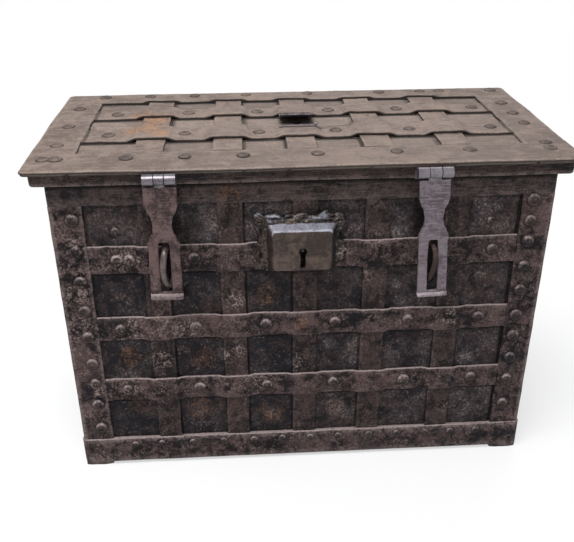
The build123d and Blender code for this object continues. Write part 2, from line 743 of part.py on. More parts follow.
def hasp_leaves():
    """Fixed leaves on the front of the skirt, with the two outer knuckles each."""
    leaves = []
    for x, width, middle in zip(HASP_XS, HASP_BARREL_WIDTHS, HASP_MIDDLE_WIDTHS):
        across = (x - width / 2, x + width / 2)
        leaf = block(across, (SKIRT_FRONT - HASP_LEAF, SKIRT_FRONT), (SKIRT_BOTTOM, LID_UNDER))
        leaf += block(across, (HASP_BARREL_Y, SKIRT_FRONT), (HASP_BARREL_Z, LID_UNDER))
        leaf += rod((across[0], HASP_BARREL_Y, HASP_BARREL_Z), (across[1], HASP_BARREL_Y, HASP_BARREL_Z),
                    HASP_BARREL_RADIUS)
        leaf -= rod((across[0] - OVERRUN, HASP_BARREL_Y, HASP_BARREL_Z),
                    (across[1] + OVERRUN, HASP_BARREL_Y, HASP_BARREL_Z), HASP_PIN_RADIUS + PLAY)
        gap = middle / 2 + PLAY
        front = HASP_BARREL_Y - HASP_BARREL_RADIUS - OVERRUN
        leaf -= block((x - gap, x + gap), (front, SKIRT_FRONT - HASP_LEAF),
                      (HASP_BARREL_Z - HASP_BARREL_RADIUS - OVERRUN, LID_TOP + OVERRUN))
        leaves.append(leaf)
    return leaves


def hasp_pins():
    return [
        rod((x - width / 2, HASP_BARREL_Y, HASP_BARREL_Z), (x + width / 2, HASP_BARREL_Y, HASP_BARREL_Z),
            HASP_PIN_RADIUS)
        for x, width in zip(HASP_XS, HASP_BARREL_WIDTHS)
    ]


def hasp(side):
    """Hanging hasp with its necked outline, slot, bottom lip and middle knuckle."""
    half = HASP_WIDTHS[side] / 2
    neck = HASP_NECK_WIDTHS[side] / 2
    top = -(HASP_BARREL_RADIUS + HASP_TOP_GAP)
    bottom = -HASP_LENGTHS[side]
    neck_top = -HASP_NECK_TOP
    neck_middle = neck_top - HASP_NECK_LENGTH / 2
    neck_bottom = neck_top - HASP_NECK_LENGTH
    edge = [
        Line((-half, top), (half, top)),
        Line((half, top), (half, neck_top)),
        ThreePointArc((half, neck_top), (neck, neck_middle), (half, neck_bottom)),
        Line((half, neck_bottom), (half, bottom)),
        Line((half, bottom), (-half, bottom)),
        Line((-half, bottom), (-half, neck_bottom)),
        ThreePointArc((-half, neck_bottom), (-neck, neck_middle), (-half, neck_top)),
        Line((-half, neck_top), (-half, top)),
    ]
    slot_width = HASP_SLOT_WIDTHS[side]
    slot_top = -HASP_SLOT_TOPS[side]
    slot_middle = slot_top - HASP_SLOT_LENGTHS[side] / 2
    slot = Pos(0, slot_middle) * Rot(0, 0, 90) * SlotOverall(HASP_SLOT_LENGTHS[side], slot_width)
    outline = make_face(edge) - slot
    front = Plane(origin=(0, HASP_THICKNESS / 2, 0), x_dir=(1, 0, 0), z_dir=(0, -1, 0))
    plate = extrude(front * outline, HASP_THICKNESS)
    lip_front = -(HASP_THICKNESS / 2 + HASP_LIP)
    plate += block((-half, half), (lip_front, HASP_THICKNESS / 2), (bottom - HASP_LIP_HEIGHTS[side], bottom))
    plate = Rot(0, -HASP_LEAN_DEGREES[side], 0) * plate
    knuckle = HASP_MIDDLE_WIDTHS[side] / 2
    plate += rod((-knuckle, 0, 0), (knuckle, 0, 0), HASP_BARREL_RADIUS)
    web_bottom = top - HASP_THICKNESS
    plate += block((-knuckle, knuckle), (-HASP_THICKNESS / 2, HASP_THICKNESS / 2), (web_bottom, 0))
    plate -= rod((-half, 0, 0), (half, 0, 0), HASP_PIN_RADIUS + PLAY)
    return Pos(HASP_XS[side], HASP_BARREL_Y, HASP_BARREL_Z) * plate


def staple_corners(side):
    """Top and foot heights of one staple, taken from the slot that it stands in."""
    slot_top = HASP_BARREL_Z - HASP_SLOT_TOPS[side]
    top = slot_top - STAPLE_TOP_BELOW_SLOT
    foot = slot_top - HASP_SLOT_LENGTHS[side] + STAPLE_FOOT_ABOVE_SLOT
    return top, foot


def staple(side):
    """Bent rod: out at the top, then sloping down and back into the wall."""
    top, foot = staple_corners(side)
    nose = HASP_FRONT - STAPLE_NOSE_OUT + STAPLE_ROD / 2
    foot_y = HASP_BACK + STAPLE_FOOT_BACK + STAPLE_ROD / 2
    inside = -INNER_Y + STAPLE_CLINCH
    corners = [(inside, top), (nose, top), (nose, top - STAPLE_NOSE_DROP), (foot_y, foot), (inside, foot)]
    across = Plane(origin=(STAPLE_XS[side], 0, 0), x_dir=(0, 1, 0), z_dir=(1, 0, 0))
    path = across * FilletPolyline(*corners, radius=STAPLE_BEND)
    start = Plane(origin=(STAPLE_XS[side], inside, top), z_dir=(0, -1, 0))
    return sweep(start * RegularPolygon(STAPLE_ROD / 2, FORGED_SIDES), path)


def staple_legs():
    """The holes that the staples' legs pass through in the wall."""
    legs = None
    for side in (0, 1):
        for z in staple_corners(side):
            leg = forged_rod((STAPLE_XS[side], -HALF_DEPTH - STRAP - PLAY, z),
                             (STAPLE_XS[side], -INNER_Y + OVERRUN, z), STAPLE_ROD / 2)
            legs = leg if legs is None else legs + leg
    return legs


# False lock


def lock_case():
    """Hollow bevelled box with a keyhole in its face."""
    base = front_at(LOCK_X, LOCK_Z, RAISED_FRONT + FRET_THICKNESS)
    foot = extrude(base * Rectangle(*LOCK_BASE), LOCK_FOOT)
    bevel_base = front_at(LOCK_X, LOCK_Z, RAISED_FRONT + FRET_THICKNESS + LOCK_FOOT)
    face_plane = front_at(LOCK_X, LOCK_Z + LOCK_FACE_UP, RAISED_FRONT + FRET_THICKNESS + LOCK_RISE)
    bevel = loft([bevel_base * Rectangle(*LOCK_BASE), face_plane * Rectangle(*LOCK_FACE)], ruled=True)
    inner_base = [size - 2 * LOCK_WALL for size in LOCK_BASE]
    inner_face = [size - 2 * LOCK_WALL for size in LOCK_FACE]
    inner_plane = front_at(LOCK_X, LOCK_Z + LOCK_FACE_UP,
                           RAISED_FRONT + FRET_THICKNESS + LOCK_RISE - LOCK_WALL)
    hollow = loft([base * Rectangle(*inner_base), inner_plane * Rectangle(*inner_face)], ruled=True)
    outer = -(RAISED_FRONT + FRET_THICKNESS + LOCK_RISE + OVERRUN)
    inner = outer + OVERRUN + LOCK_RISE - LOCK_FOOT
    eye_z = FRONT_KEY_TOP - FRONT_KEY_EYE / 2
    eye = rod((FRONT_KEY_X, outer, eye_z), (FRONT_KEY_X, inner, eye_z), FRONT_KEY_EYE / 2)
    slot = block((FRONT_KEY_X - FRONT_KEY_SLOT / 2, FRONT_KEY_X + FRONT_KEY_SLOT / 2), (outer, inner),
                 (FRONT_KEY_TOP - FRONT_KEY_LENGTH, eye_z))
    return foot + bevel - hollow - eye - slot


def escutcheon_plate():
    """Lobed and pierced plate behind the false lock."""
    width, height = FRET_SIZE
    sheet = Rectangle(width, height)
    holes = []
    across, up = FRET_LOBE_COUNTS
    for place in range(across):
        x = (2 * place + 1 - across) * width / (2 * across)
        for side in (-1, 1):
            sheet += Pos(x, side * height / 2) * RegularPolygon(FRET_LOBE_RADIUS, FORGED_SIDES)
            holes.append(Pos(x, side * height / 2) * RegularPolygon(FRET_HOLE_RADIUS, FRET_HOLE_SIDES))
    for place in range(up):
        y = (2 * place + 1 - up) * height / (2 * up)
        for side in (-1, 1):
            sheet += Pos(side * width / 2, y) * RegularPolygon(FRET_LOBE_RADIUS, FORGED_SIDES)
            holes.append(Pos(side * width / 2, y) * RegularPolygon(FRET_HOLE_RADIUS, FRET_HOLE_SIDES))
    for hole in holes:
        sheet -= hole
    return extrude(front_at(FRET_X, FRET_Z, RAISED_FRONT) * sheet, FRET_THICKNESS)


# Drop handles


def handle_place():
    """Height of the handles' pivots and of their base plates, between two strap rows."""
    rows = row_heights()
    low, high = rows[1][1], rows[2][0]
    return low + HANDLE_UP_SHARE * (high - low), LUG_BASE_HEIGHT_SHARE * (high - low)


def handle_lugs():
    """Base plates with an eye each, two on every end of the chest."""
    pivot, base_height = handle_place()
    lugs = []
    for side in (-1, 1):
        for across in (-1, 1):
            y = across * HANDLE_SPAN / 2
            base_x = sorted((side * HALF_WIDTH, side * (HALF_WIDTH + LUG_BASE_THICKNESS)))
            lug = block(base_x, (y - LUG_BASE_WIDTH / 2, y + LUG_BASE_WIDTH / 2),
                        (pivot - base_height / 2, pivot + base_height / 2))
            eye_x = HALF_WIDTH + HANDLE_OUT
            ear = sorted((side * HALF_WIDTH, side * eye_x))
            lug += block(ear, (y - LUG_WIDTH / 2, y + LUG_WIDTH / 2),
                         (pivot - LUG_HEIGHT / 2, pivot + LUG_HEIGHT / 2))
            ends = [(side * eye_x, y + half * LUG_WIDTH / 2, pivot) for half in (-1, 1)]
            lug += forged_rod(ends[0], ends[1], LUG_HEIGHT / 2, KNUCKLE_SIDES)
            far = [(side * eye_x, y + half * (LUG_WIDTH / 2 + OVERRUN), pivot) for half in (-1, 1)]
            lugs.append(lug - rod(far[0], far[1], HANDLE_ROD / 2 + PLAY))
    return lugs


def drop_handle(side):
    """Bent rod hanging from the two eyes of one end."""
    x = side * (HALF_WIDTH + HANDLE_OUT)
    end = HANDLE_SPAN / 2 + LUG_WIDTH / 2
    arm = HANDLE_SPAN / 2 - LUG_WIDTH / 2 - HANDLE_BEND / 2 - HANDLE_ROD / 4
    pivot = handle_place()[0]
    low = pivot - HANDLE_DROP
    points = [(-end, pivot), (-arm, pivot), (-arm, low), (arm, low), (arm, pivot), (end, pivot)]
    upright = Plane(origin=(x, 0, 0), x_dir=(0, 1, 0), z_dir=(1, 0, 0))
    bends = [HANDLE_BEND / 2, HANDLE_BEND, HANDLE_BEND, HANDLE_BEND / 2]
    path = upright * FilletPolyline(*points, radius=bends)
    start = Plane(origin=(x, -end, pivot), z_dir=(0, 1, 0))
    return sweep(start * RegularPolygon(HANDLE_ROD / 2, FORGED_SIDES), path)


# Keyhole cover


def cover_axis():
    """Place of the cover's hinge line, behind the keyhole."""
    y = long_strap_spans()[1][0] - COVER_BARREL - COVER_SEAT_GAP
    return y, LID_PLATE_TOP + COVER_BARREL + COVER_SEAT_GAP


def keyhole_cover():
    """Flap over the keyhole, left standing a little open."""
    y, z = cover_axis()
    half = COVER_WIDTH / 2
    inner = half - COVER_EAR - PLAY
    leaf = block((-half, half), (-COVER_LENGTH, -COVER_BARREL - PLAY), (-COVER_BARREL, COVER_THICKNESS - COVER_BARREL))
    leaf += block((-inner, inner), (-COVER_BARREL - PLAY, 0), (-COVER_BARREL, COVER_THICKNESS - COVER_BARREL))
    leaf += rod((-inner, 0, 0), (inner, 0, 0), COVER_BARREL)
    leaf -= rod((-half, 0, 0), (half, 0, 0), COVER_PIN + PLAY)
    return Pos(0, y, z) * Rot(-COVER_RAISE_DEGREES, 0, 0) * leaf


def cover_hinge():
    """Two eyes on the lid and the pin of the keyhole cover."""
    y, z = cover_axis()
    half = COVER_WIDTH / 2
    ears = []
    for side in (-1, 1):
        x = sorted((side * (half - COVER_EAR), side * half))
        ear = rod((x[0], y, z), (x[1], y, z), COVER_BARREL)
        ear += block(x, (y - COVER_BARREL, y + COVER_BARREL), (LID_PLATE_TOP, z))
        ears.append(ear - rod((-half - OVERRUN, y, z), (half + OVERRUN, y, z), COVER_PIN + PLAY))
    pin = rod((-half, y, z), (half, y, z), COVER_PIN)
    return ears + [pin]


def key_spring():
    """Flat spring that lies in front of the keyhole and curls up at its right end."""
    front = long_strap_spans()[0][1]
    start = -KEY_SPRING_LENGTH / 2
    end = KEY_SPRING_LENGTH / 2
    line = [
        (start, 0),
        (end, 0),
        (end + KEY_SPRING_CURL, KEY_SPRING_CURL),
    ]
    upper = [(along, out + KEY_SPRING_THICKNESS) for along, out in reversed(line)]
    strip = make_face(Polyline(*line, *upper, close=True))
    flat = Plane(origin=(0, front + 2 * KEY_SPRING_WIDTH, LID_PLATE_TOP), x_dir=(1, 0, 0), z_dir=(0, -1, 0))
    return extrude(flat * strip, KEY_SPRING_WIDTH)


# Lock under the lid


def lock_plate():
    plate = block((-LOCK_HALF_X, LOCK_HALF_X), (-LOCK_HALF_Y, LOCK_HALF_Y),
                  (LID_UNDER - LOCK_PLATE, LID_UNDER))
    return plate - key_cut(LID_UNDER - LOCK_PLATE, LID_UNDER)


def bolt_xs():
    """Places of the row bolts, between the cut in the lock bar and the right crosshead."""
    return [FIRST_BOLT_X + share * (LAST_BOLT_X - FIRST_BOLT_X) for share in BOLT_PLACE_SHARES]


def end_bolt_ys():
    return [-END_BOLT_SHARE * HALF_DEPTH, END_BOLT_SHARE * HALF_DEPTH]


def row_bolts(side):
    """Bolts that shoot to the front (side -1) or the back (side 1), drawn in."""
    tip = RIM_INNER_Y - BOLT_REST_GAP
    heel = DRIVE_PIN_Y - DRIVE_PIN / 2 - PLAY
    bolts = []
    for x in bolt_xs():
        inward = -1 if x > 0 else 1
        bolt = block((x - BOLT_WIDTH / 2, x + BOLT_WIDTH / 2), sorted((side * heel, side * tip)),
                     (BOLT_BOTTOM, BOLT_TOP))
        lug_x = sorted((x, x + inward * (BOLT_WIDTH / 2 + LUG_OUT)))
        lug_y = sorted((side * BOLT_LUG_Y, side * (BOLT_LUG_Y + LUG_OUT)))
        bolt += block(lug_x, lug_y, (BOLT_BOTTOM, BOLT_TOP))
        pin = forged_rod((x, side * DRIVE_PIN_Y, BAR_BOTTOM), (x, side * DRIVE_PIN_Y, BOLT_TOP), DRIVE_PIN / 2)
        bolts.append(bolt + pin)
    return bolts


def bolt_springs():
    """Bowed leaf springs, each held in a post and resting behind a bolt's lug."""
    springs = []
    places = bolt_xs()
    spring_foot = BOLT_WIDTH / 2 + PLAY + BOLT_SPRING_THICKNESS
    room = (places[2] - places[1]) / 2 - spring_foot - SPRING_POST
    for side in (-1, 1):
        for x in places:
            inward = -1 if x > 0 else 1
            tip_x = x + inward * spring_foot
            far_x = tip_x + inward * BOLT_SPRING_SHARE * room
            near = BOLT_LUG_Y - PLAY
            post_y = near - BOLT_SPRING_THICKNESS
            post = block(sorted((far_x, far_x + inward * SPRING_POST)),
                         sorted((side * (post_y - SPRING_POST), side * near)),
                         (BOLT_BOTTOM, LID_UNDER - LOCK_PLATE))
            middle_x = (tip_x + far_x) / 2
            bow = ThreePointArc((tip_x, side * near), (middle_x, side * (near - BOLT_SPRING_BOW)),
                                (far_x, side * near))
            back = ThreePointArc((far_x, side * post_y), (middle_x, side * (post_y - BOLT_SPRING_BOW)),
                                 (tip_x, side * post_y))
            ends = [
                Line((far_x, side * near), (far_x, side * post_y)),
                Line((tip_x, side * post_y), (tip_x, side * near)),
            ]
            leaf = make_face([bow, ends[0], back, ends[1]])
            spring = extrude(Pos(0, 0, BOLT_BOTTOM) * leaf, BOLT_THICKNESS - PLAY)
            springs.append(post + spring)
    return springs


def slanted_slot(x, side):
    """Driving slot in the lock bar for one bolt's pin: it runs at 45 degrees."""
    width = DRIVE_PIN + 2 * SLOT_PLAY
    start = (x, side * DRIVE_PIN_Y)
    end = (x - BOLT_TRAVEL, side * (DRIVE_PIN_Y + BOLT_TRAVEL))
    middle = ((start[0] + end[0]) / 2, (start[1] + end[1]) / 2)
    run = math.hypot(end[0] - start[0], end[1] - start[1])
    angle = math.degrees(math.atan2(end[1] - start[1], end[0] - start[0]))
    flat = Pos(*middle) * Rot(0, 0, angle) * Rectangle(run + width, width)
    return extrude(Pos(0, 0, BAR_BOTTOM - OVERRUN) * flat, LOCK_BAR_THICKNESS + 2 * OVERRUN)


def lock_bar():
    """Long bar that drives every bolt: slanted slots, key window and lever pin."""
    half = LOCK_BAR_WIDTH / 2
    bar = block((-LOCK_BAR_CUT, LOCK_BAR_END), (-half, half), (BAR_BOTTOM, BAR_TOP))
    pin_x = LEVER_PIVOT_X - LEVER_SWING
    bar += block((pin_x - LEVER_PIN, -LOCK_BAR_CUT), (LEVER_ARM - LEVER_WIDTH, half), (BAR_BOTTOM, BAR_TOP))
    for x in bolt_xs():
        for side in (-1, 1):
            bar -= slanted_slot(x, side)
    window_x, window_y = BAR_WINDOW
    bar -= block((-window_x / 2 - BOLT_TRAVEL / 2, window_x / 2 - BOLT_TRAVEL / 2),
                 (KEY_Y - window_y / 2 - KEY_EYE / 2, KEY_Y + window_y / 2 - KEY_EYE / 2),
                 (BAR_BOTTOM - OVERRUN, BAR_TOP + OVERRUN))
    talon_x = -BOLT_TRAVEL / 2 + window_x / 2
    talon_y = KEY_Y - window_y / 2 - KEY_EYE / 2
    bar += block((talon_x - TALON[0], talon_x), (talon_y, talon_y + TALON[1]), (BAR_BOTTOM, BAR_TOP))
    pin = rod((pin_x, LEVER_ARM, LEVER_BOTTOM), (pin_x, LEVER_ARM, BAR_TOP), LEVER_PIN / 2)
    return bar + pin


def crosshead(side, inner, bottom):
    """Cross piece with two end bolts; side -1 for the left and 1 for the right."""
    reach = CROSSHEAD_SHARE * END_BOLT_SHARE * HALF_DEPTH + BOLT_WIDTH
    tip = RIM_INNER_X - BOLT_REST_GAP
    x = sorted((side * inner, side * (inner + CROSSHEAD)))
    head = block(x, (-reach, reach), (BOLT_BOTTOM, BOLT_TOP))
    for y in end_bolt_ys():
        head += block(sorted((side * inner, side * tip)), (y - BOLT_WIDTH / 2, y + BOLT_WIDTH / 2),
                      (BOLT_BOTTOM, BOLT_TOP))
    if bottom < BOLT_BOTTOM:
        head += block(x, (-LOCK_BAR_WIDTH / 4, LOCK_BAR_WIDTH / 4), (bottom, BOLT_BOTTOM))
    return head


def right_bolts():
    """The right pair is riveted to the lock bar's end."""
    return crosshead(1, RIGHT_HEAD_X, BAR_TOP)


def left_bolts():
    """The left pair has a pin that the reversing lever drives."""
    inner = -LEVER_PIVOT_X + LEVER_PIN + CROSSHEAD_GAP
    pin_x = LEVER_PIVOT_X + LEVER_SWING
    arm = block((-inner, pin_x + LEVER_PIN / 2), (-LEVER_ARM - LEVER_WIDTH / 2, -LEVER_ARM + LEVER_WIDTH / 2),
                (BOLT_BOTTOM, BOLT_TOP))
    pin = rod((pin_x, -LEVER_ARM, LEVER_BOTTOM), (pin_x, -LEVER_ARM, BOLT_TOP), LEVER_PIN / 2)
    return crosshead(-1, inner, BOLT_BOTTOM) + arm + pin


def reversing_lever():
    """Lever with a forked slot at each end, tilted to its resting angle."""
    tilt = math.degrees(math.atan2(LEVER_SWING, LEVER_ARM))
    reach = math.hypot(LEVER_SWING, LEVER_ARM)
    half = reach + LEVER_PIN
    body = extrude(Pos(0, 0, LEVER_BOTTOM) * Rot(0, 0, 90) * SlotOverall(2 * half, LEVER_WIDTH + LEVER_PIN / 2),
                   LEVER_THICKNESS)
    fork = LEVER_PIN / 2 + SLOT_PLAY
    for side in (-1, 1):
        inner = side * (LEVER_ARM - fork)
        outer = side * (half + OVERRUN)
        body -= block((-fork, fork), sorted((inner, outer)), (LEVER_BOTTOM - OVERRUN, LEVER_TOP + OVERRUN))
    body -= rod((0, 0, LEVER_BOTTOM - OVERRUN), (0, 0, LEVER_TOP + OVERRUN), LEVER_PIN / 2 + PLAY)
    return Pos(LEVER_PIVOT_X, 0, 0) * Rot(0, 0, tilt) * body


def lever_pivot():
    """Pivot stud of the reversing lever, with the collar that spaces it."""
    x = LEVER_PIVOT_X
    stud = rod((x, 0, LEVER_BOTTOM - PLAY), (x, 0, LID_UNDER - LOCK_PLATE), LEVER_PIN / 2)
    return stud + rod((x, 0, LEVER_BOTTOM - PLAY - GUIDE_WALL / 2), (x, 0, LEVER_BOTTOM - PLAY), LEVER_PIN)


def guide(x, y, along_x):
    """Bridge that holds one bolt up against the lock plate."""
    half = BOLT_WIDTH / 2 + PLAY
    outer = half + GUIDE_WALL
    low = BOLT_BOTTOM - PLAY - GUIDE_WALL
    top = LID_UNDER - LOCK_PLATE
    across = (-GUIDE_LENGTH / 2, GUIDE_LENGTH / 2)
    bridge = block((-outer, outer), across, (low, top))
    bridge -= block((-half, half), (-GUIDE_LENGTH, GUIDE_LENGTH), (BOLT_BOTTOM - PLAY, top + OVERRUN))
    turn = Rot(0, 0, 90) if along_x else Rot(0, 0, 0)
    return Pos(x, y, 0) * turn * bridge


def bolt_guides():
    bridges = []
    y = GUIDE_Y_SHARE * LOCK_HALF_Y
    for x in bolt_xs():
        for side in (-1, 1):
            bridges.append(guide(x, side * y, False))
    x = LOCK_HALF_X - GUIDE_LENGTH
    for side in (-1, 1):
        for y_end in end_bolt_ys():
            bridges.append(guide(side * x, y_end, True))
    return bridges


def bar_guides():
    """Straps that carry the lock bar from both of its long edges."""
    half = LOCK_BAR_WIDTH / 2
    top = LID_UNDER - LOCK_PLATE
    straps = []
    for share in BAR_GUIDE_SHARES:
        x = (share * HALF_WIDTH - GUIDE_LENGTH / 2, share * HALF_WIDTH + GUIDE_LENGTH / 2)
        for side in (-1, 1):
            wall = sorted((side * (half + PLAY), side * (half + PLAY + GUIDE_WALL)))
            strap = block(x, wall, (BAR_BOTTOM - PLAY - GUIDE_WALL, top))
            shelf = sorted((side * (half - GUIDE_WALL), side * (half + PLAY)))
            strap += block(x, shelf, (BAR_BOTTOM - PLAY - GUIDE_WALL, BAR_BOTTOM - PLAY))
            straps.append(strap)
    return straps


def lock_cover():
    """Pierced cover plate that closes the lock, seen when the lid stands open."""
    width, depth = 2 * (PILLAR_X + PILLAR), 2 * (PILLAR_Y + PILLAR)
    plate = Rectangle(width, depth)
    pitch = (width - 2 * PLATE_MARGIN) / (PLATE_COLUMN_COUNT - 1)
    for column in range(PLATE_COLUMN_COUNT):
        x = -width / 2 + PLATE_MARGIN + column * pitch
        for side in (-1, 1):
            y = side * (depth / 2 - PLATE_MARGIN)
            tail = make_face(Polyline((x - PLATE_HOLE, y), (x, y - side * PLATE_HOLE_TAIL), (x + PLATE_HOLE, y),
                                      close=True))
            plate -= Pos(x, y) * RegularPolygon(PLATE_HOLE, FORGED_SIDES) + tail
    return extrude(Pos(0, 0, PLATE_BOTTOM) * plate, PLATE_THICKNESS)


def cover_pillars():
    """Studs between the lock plate and the pierced cover."""
    top = LID_UNDER - LOCK_PLATE
    return [
        forged_rod((side_x * PILLAR_X, side_y * PILLAR_Y, PLATE_TOP),
                   (side_x * PILLAR_X, side_y * PILLAR_Y, top), PILLAR / 2)
        for side_x in (-1, 1)
        for side_y in (-1, 1)
    ]


def key_pin():
    """Fixed pin that a hollow key slips over, from the cover up to the lid."""
    return rod((0, KEY_Y, PLATE_TOP), (0, KEY_Y, LID_PLATE_TOP), KEY_PIN / 2)


def parts():
    """Every piece of the chest, by name."""
    return {
        "front_sheet": front_sheet(),
        "back_sheet": back_sheet(),
        "left_sheet": end_sheet(-1),
        "right_sheet": end_sheet(1),
        "bottom_sheet": bottom_sheet(),
        "rim_flange": rim_flange(),
        "collar_band": collar_band(),
        "plinth_band": plinth_band(),
        "corner_feet": corner_feet(),
        "corner_straps": corner_straps(),
        "front_vertical_straps": front_verticals(),
        "back_vertical_straps": back_verticals(),
        "end_vertical_straps": side_verticals(),
        "front_cross_straps": front_straps(),
        "back_cross_straps": back_straps(),
        "left_cross_straps": end_straps(-1),
        "right_cross_straps": end_straps(1),
        "front_rivets": front_rivets(),
        "back_rivets": back_rivets(),
        "end_rivets": end_rivets(),
        "false_lock_case": lock_case(),
        "escutcheon_plate": escutcheon_plate(),
        "left_staple": staple(0),
        "right_staple": staple(1),
        "body_hinge_leaves": body_hinge_leaves(),
        "hinge_pins": hinge_pins(),
        "handle_lugs": handle_lugs(),
        "left_handle": drop_handle(-1),
        "right_handle": drop_handle(1),
        "lid_sheet": lid_sheet(),
        "lid_border_straps": lid_border(),
        "lid_skirt": lid_skirt(),
        "lid_long_straps": lid_long_straps(),
        "lid_cross_straps": lid_cross_straps(),
        "lid_rivets": lid_rivets(),
        "lid_hinge_leaves": lid_hinge_leaves(),
        "hasp_leaves": hasp_leaves(),
        "hasp_pins": hasp_pins(),
        "left_hasp": hasp(0),
        "right_hasp": hasp(1),
        "keyhole_cover": keyhole_cover(),
        "cover_hinge": cover_hinge(),
        "keyhole_spring": key_spring(),
        "lock_plate": lock_plate(),
        "lock_bar": lock_bar(),
        "right_bolts": right_bolts(),
        "left_bolts": left_bolts(),
        "front_bolts": row_bolts(-1),
        "back_bolts": row_bolts(1),
        "bolt_springs": bolt_springs(),
        "bolt_guides": bolt_guides(),
        "lock_bar_guides": bar_guides(),
        "reversing_lever": reversing_lever(),
        "lever_pivot": lever_pivot(),
        "lock_cover_plate": lock_cover(),
        "cover_pillars": cover_pillars(),
        "key_pin": key_pin(),
    }


def write_parts():
    """Writes each piece to its own file, with the chest centred over the origin."""
    os.makedirs("parts", exist_ok=True)
    shift = Pos(0, FRAME_SHIFT, 0)
    for name, piece in parts().items():
        pieces = piece if isinstance(piece, list) else [piece]
        solids = [solid for one in pieces for solid in (shift * one).solids()]
        shape = solids[0] if len(solids) == 1 else Compound(children=solids)
        export_step(shape, os.path.join("parts", name + ".step"))


write_parts()
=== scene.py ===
import math
import random

import bmesh
import bpy
from mathutils import Matrix, Vector, noise


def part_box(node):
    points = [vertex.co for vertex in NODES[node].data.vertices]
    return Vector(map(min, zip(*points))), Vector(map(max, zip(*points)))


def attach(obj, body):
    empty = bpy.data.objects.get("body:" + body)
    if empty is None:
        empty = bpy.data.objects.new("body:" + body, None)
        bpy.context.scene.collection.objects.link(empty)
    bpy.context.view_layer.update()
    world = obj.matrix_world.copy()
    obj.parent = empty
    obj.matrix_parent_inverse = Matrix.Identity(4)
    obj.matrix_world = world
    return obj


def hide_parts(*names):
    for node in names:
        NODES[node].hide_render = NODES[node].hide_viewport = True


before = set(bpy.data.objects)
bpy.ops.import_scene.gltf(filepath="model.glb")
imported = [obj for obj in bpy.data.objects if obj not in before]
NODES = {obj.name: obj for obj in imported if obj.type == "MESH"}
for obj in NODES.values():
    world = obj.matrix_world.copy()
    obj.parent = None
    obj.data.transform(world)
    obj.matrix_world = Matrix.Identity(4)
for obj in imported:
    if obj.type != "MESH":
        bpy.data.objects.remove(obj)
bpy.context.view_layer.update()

# Looks of the iron armada chest. Lengths in the tables and helpers are millimetres
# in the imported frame, and the meshes are written in metres.

MM = 0.001
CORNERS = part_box("corner_straps")
SHIFT = (CORNERS[0].y + CORNERS[1].y) / 2 / MM
MATERIALS = {}

STRAP = 3.5
HALF_X = 350.0
HALF_Y = 165.0
SHEET_X = HALF_X - STRAP
SHEET_Y = HALF_Y - STRAP
END_SHEET_Y = 158.5
FRONT = SHIFT - HALF_Y
SHEET_FOOT = 6.0
SHEET_HEAD = 495.7
SHEET_THICK = 3.0
PLINTH_TOP = 51.0
COLLAR_BOTTOM = 450.0
COLLAR_TOP = 500.7
LID_UNDER = 501.0
LID_PLATE = 504.0


def clamp(value):
    return max(0.0, min(1.0, value))


def smooth(value):
    """Eased step from 0 to 1."""
    value = clamp(value)
    return value * value * (3 - 2 * value)


def uneven(x, y, z):
    """Smooth noise about zero."""
    return noise.noise(Vector((x, y, z)))


def waver(run, seed, one, two):
    """Slow waves with small ones on them, along a strap's edge."""
    return uneven(run / 42, seed, one) + 0.45 * uneven(run / 11, seed, two)


def span(low, high, step):
    """Even places from low to high, about a step apart."""
    count = max(1, round((high - low) / step))
    return [low + (high - low) * i / count for i in range(count + 1)]


# Camera and light

def place_camera():
    """Camera at the photograph's angle, solved from the chest's edges."""
    yaw, pitch, roll = (math.radians(turn) for turn in (-3.391, 27.799, -0.272))
    forward = Vector((-math.sin(yaw) * math.cos(pitch), math.cos(yaw) * math.cos(pitch), -math.sin(pitch)))
    right = Vector((math.cos(yaw), math.sin(yaw), 0))
    up = right.cross(forward)
    turned_right = right * math.cos(roll) + up * math.sin(roll)
    turned_up = up * math.cos(roll) - right * math.sin(roll)
    data = bpy.data.cameras.new("photo_camera")
    data.lens = 48.234
    data.sensor_width = 36.0
    data.sensor_fit = "HORIZONTAL"
    data.clip_start = 0.01
    camera = bpy.data.objects.new("photo_camera", data)
    bpy.context.scene.collection.objects.link(camera)
    rows = Matrix((turned_right, turned_up, -forward)).transposed().to_4x4()
    camera.matrix_world = Matrix.Translation((-0.08369, -1.13831 + SHIFT * MM, 0.85598)) @ rows
    bpy.context.scene.camera = camera


def area_light(name, place, aim, size, power):
    data = bpy.data.lights.new(name, "AREA")
    data.shape = "RECTANGLE"
    data.size, data.size_y = size
    data.energy = power
    light = bpy.data.objects.new(name, data)
    bpy.context.scene.collection.objects.link(light)
    light.location = place
    light.rotation_euler = (Vector(aim) - Vector(place)).to_track_quat("-Z", "Y").to_euler()


def studio():
    """Plain white floor and world, with soft light from above and in front."""
    scene = bpy.context.scene
    scene.view_settings.view_transform = "Standard"
    scene.world = bpy.data.worlds.new("studio")
    g = Graph(scene.world, "Background", "World Output")
    g.link((0.90, 0.93, 1.0), g.shader.inputs["Color"])
    g.link(0.38, g.shader.inputs["Strength"])
    g.white_to_camera("Background")
    area_light("key", (-0.55, -0.75, 2.2), (0, 0, 0.3), (1.5, 0.9), 50)
    area_light("front_fill", (0.7, -2.6, 1.1), (0, 0, 0.25), (2.0, 1.2), 11)
    area_light("back_top", (0.4, 1.2, 1.9), (0, 0, 0.4), (1.6, 0.8), 14)
    floor()


